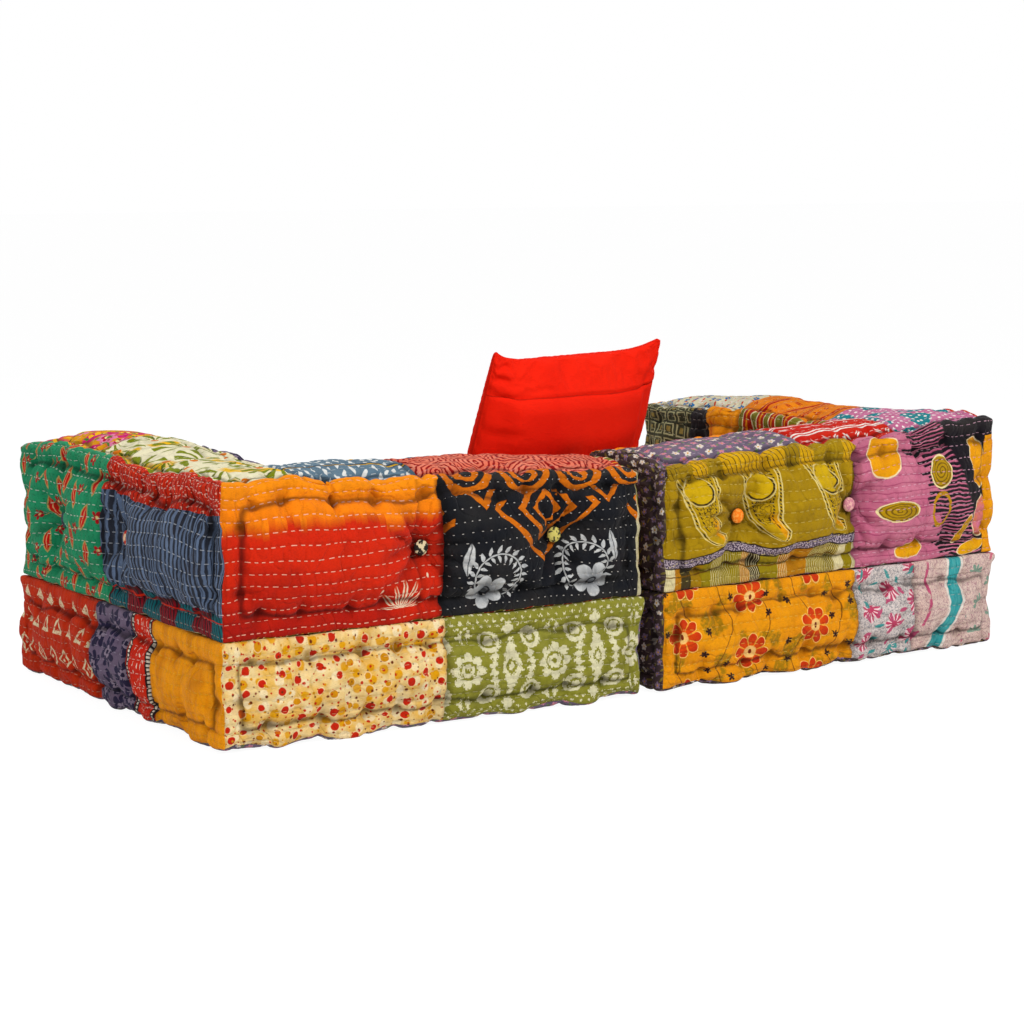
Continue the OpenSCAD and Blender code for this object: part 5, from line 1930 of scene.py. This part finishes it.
def redCotton():
    c = Cloth("red_cotton_cloth")
    u, v = c.map("print")
    line = c.map("rows")[1]
    weave = u.wave(0.0011) * v.wave(0.0011)
    slub = c.noise(u, v * 7.0, 0.010, 2.0, 1.0)
    cloud = c.noise(u, v, 0.10, 2.0, 3.0)
    c.ground(cloud, "e01602", "f22206")
    c.paint((slub - 0.5).most(0.0) * 0.5, "b01002")
    # painted shade: the red is darker towards the bottom and the +x side
    low = ((0.05 - v) * 3.0 + (u + 0.05) * 1.2).most(0.0).least(1.0)
    c.paint(low * 0.5, "b80c02")
    # painted shadow: a thin dark line just under the edge of the fold over the zip, drawn with the painted
    # shade of the seam
    edge = (line + 0.0012).near(0.0004, 0.0010) * (line - 0.1).below(-0.01)
    c.paint(c.attribute("paintedShade").most(edge) * 0.7, "5a0802")
    fine = c.noise(u * 0.5, v, 0.030, 2.0, 5.0)
    height = weave * 0.12 + slub * 0.25 + (fine - 0.5).near(0.02, 0.05) * 0.5
    return c.finish(height, 0.0008, 0.7, {"Roughness": 0.85, "Specular IOR Level": 0.1})


def makePillow(name, inset, material):
    form = bmesh.new()
    cells = pillow["fillingCells" if inset else "cells"]
    bmesh.ops.create_grid(form, x_segments=cells, y_segments=cells, size=1)
    raised = bmesh.ops.extrude_face_region(form, geom=form.faces[:])["geom"]
    upper = [item for item in raised if isinstance(item, bmesh.types.BMVert)]
    bmesh.ops.translate(form, verts=upper, vec=(0, 0, 1))
    bmesh.ops.recalc_face_normals(form, faces=form.faces)
    mesh = meshOf(form, name)
    flat = readPoints(mesh)
    rear = flat[:, 2] > 0.5
    writePoints(mesh, pillowPlaces(flat, rear, inset))
    # seen along y the grid is mirrored, so its faces are turned
    mesh.flip_normals()
    piece = addPiece(name, mesh)
    mesh.materials.append(material)
    if not inset:
        held = hump(seamAway(flat), np.where(rear, 0.05, 0.25))
        up = readPoints(mesh)[:, 2] - pillow["zipUp"]
        held = np.maximum(held, np.exp(-(np.abs(up) / 0.05) ** 4) * rear)
        puff(piece, held, settling["pillow"])
        keepPlaces(mesh, "flat", flat)
        mesh = divided(piece)
        pillowDetail(mesh, keptPlaces(mesh, "flat"))
    low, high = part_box("pillow_cover")
    turn = Matrix.Rotation(pillow["turn"], 4, "Z") @ Matrix.Rotation(-pillow["lean"], 4, "X")
    mesh.transform(Matrix.Translation((Vector(low) + Vector(high)) / 2) @ turn)
    mesh.shade_smooth()
    piece.data = mesh
    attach(piece, "pillow")
    return piece


def cottonLint():
    c = Cloth("carded_cotton")
    tufty = c.lumps(60.0, 5.0)
    c.ground(tufty, "e2dac6", "f7f3e8")
    return c.finish(tufty, 0.004, 0.9, {"Roughness": 0.95})


lint = cottonLint()
cover = makePillow("pillow_red_cloth", 0, redCotton())
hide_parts("pillow_cover")
stuffing = makePillow("pillow_stuffing", pillow["fillingIn"], lint)
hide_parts("pillow_filling")
print("pillow made:", len(cover.data.polygons), "faces")


def ribbed(name, way, length, dark, pale, distance, roughness):
    # strands or ribs that run across the given way
    c = Cloth(name)
    across = c.split(c.node("TexCoord", out=3))
    ribs = (across[0] * way[0] + across[1] * way[1] + across[2] * way[2]).wave(length)
    c.ground(ribs * 0.5 + 0.5, dark, pale)
    return c.finish(ribs, distance, 0.8, {"Roughness": roughness})


def plated():
    # nickel with fine scratches
    c = Cloth("nickel_plate")
    scratch = c.lumps(700.0, 3.0)
    c.colour = "c9c9cc"
    return c.finish(scratch, 0.0001, 0.4, {"Roughness": scratch * 0.25 + 0.14, "Metallic": 1.0})


twine = ribbed("twisted_twine", (1.0, 1.0, 1.6), 0.0022, "8f7c55", "d8c79c", 0.0004, 0.85)
tape = ribbed("zip_tape_weave", (0.97, 0.24, 0.0), 0.0021, "8f0c06", "cf1c0e", 0.0005, 0.7)
kinds = {"filling": lint, "ties": twine, "lacing": twine, "zip": tape, "slider": plated()}
for name in frame["nodes"]:
    made = kinds.get(name.split("_")[-1])
    if made and name in bpy.data.objects:
        node = bpy.data.objects[name]
        node.data.materials.clear()
        node.data.materials.append(made)
print("nodes dressed")

camera = {
    "place": (2.1955, 3.3377, 0.794),
    "pitch": math.radians(7.97),
    "yaw": math.radians(146.83),
    "lens": 89.4,
}
eye = addPiece("camera", bpy.data.cameras.new("camera"))
eye.data.lens = camera["lens"]
eye.data.sensor_width = 36
eye.location = camera["place"]
eye.rotation_euler = (math.pi / 2 - camera["pitch"], 0, camera["yaw"])
bpy.context.scene.camera = eye

lights = {
    "world": 0.33,
    "floorGlow": 0.86,      # share of the floor that is plain white to the camera
    "floorWhite": 1.10,
    "areas": (      # place, aim, size and power
        ((-1.0, 3.3, 2.9), (0.0, 0.2, 0.2), 1.2, 118),
        ((3.2, 1.6, 2.0), (0.4, 0.1, 0.2), 1.8, 40),
        ((0.6, -1.0, 3.0), (0.0, 0.0, 0.3), 2.0, 30),
    ),
}


def makeStage():
    # a pale floor that stays white round the object and keeps its shadow
    form = bmesh.new()
    bmesh.ops.create_grid(form, x_segments=1, y_segments=1, size=30)
    mesh = meshOf(form, "floor")
    floor = addPiece("floor", mesh)
    c = Cloth("floor")
    white = c.node("Emission", {}, {"Color": (1, 1, 1, 1), "Strength": lights["floorWhite"]})
    c.feed(c.shader.inputs, {"Base Color": (0.8, 0.8, 0.8, 1), "Roughness": 0.9})
    matt = Value(c, c.shader.outputs[0])
    both = c.node("MixShader", {}, {0: c.looked() * lights["floorGlow"], 1: matt, 2: white})
    c.feed(c.nodes["Material Output"].inputs, {"Surface": both})
    mesh.materials.append(c.material)
    bpy.context.scene.world = bpy.data.worlds.new("studio")
    sky = Tree(bpy.context.scene.world)
    strength = sky.looked() * (1 - lights["world"]) + lights["world"]
    sky.feed(sky.nodes["Background"].inputs, {"Color": (1, 1, 1, 1), "Strength": strength})
    for number, (place, aim, size, power) in enumerate(lights["areas"]):
        lamp = bpy.data.lights.new(f"softbox_{number}", "AREA")
        lamp.shape, lamp.size, lamp.energy = "SQUARE", size, power
        box = addPiece(lamp.name, lamp)
        box.location = place
        box.rotation_euler = (Vector(aim) - Vector(place)).to_track_quat("-Z", "Y").to_euler()


makeStage()
bpy.context.scene.view_settings.view_transform = "Standard"
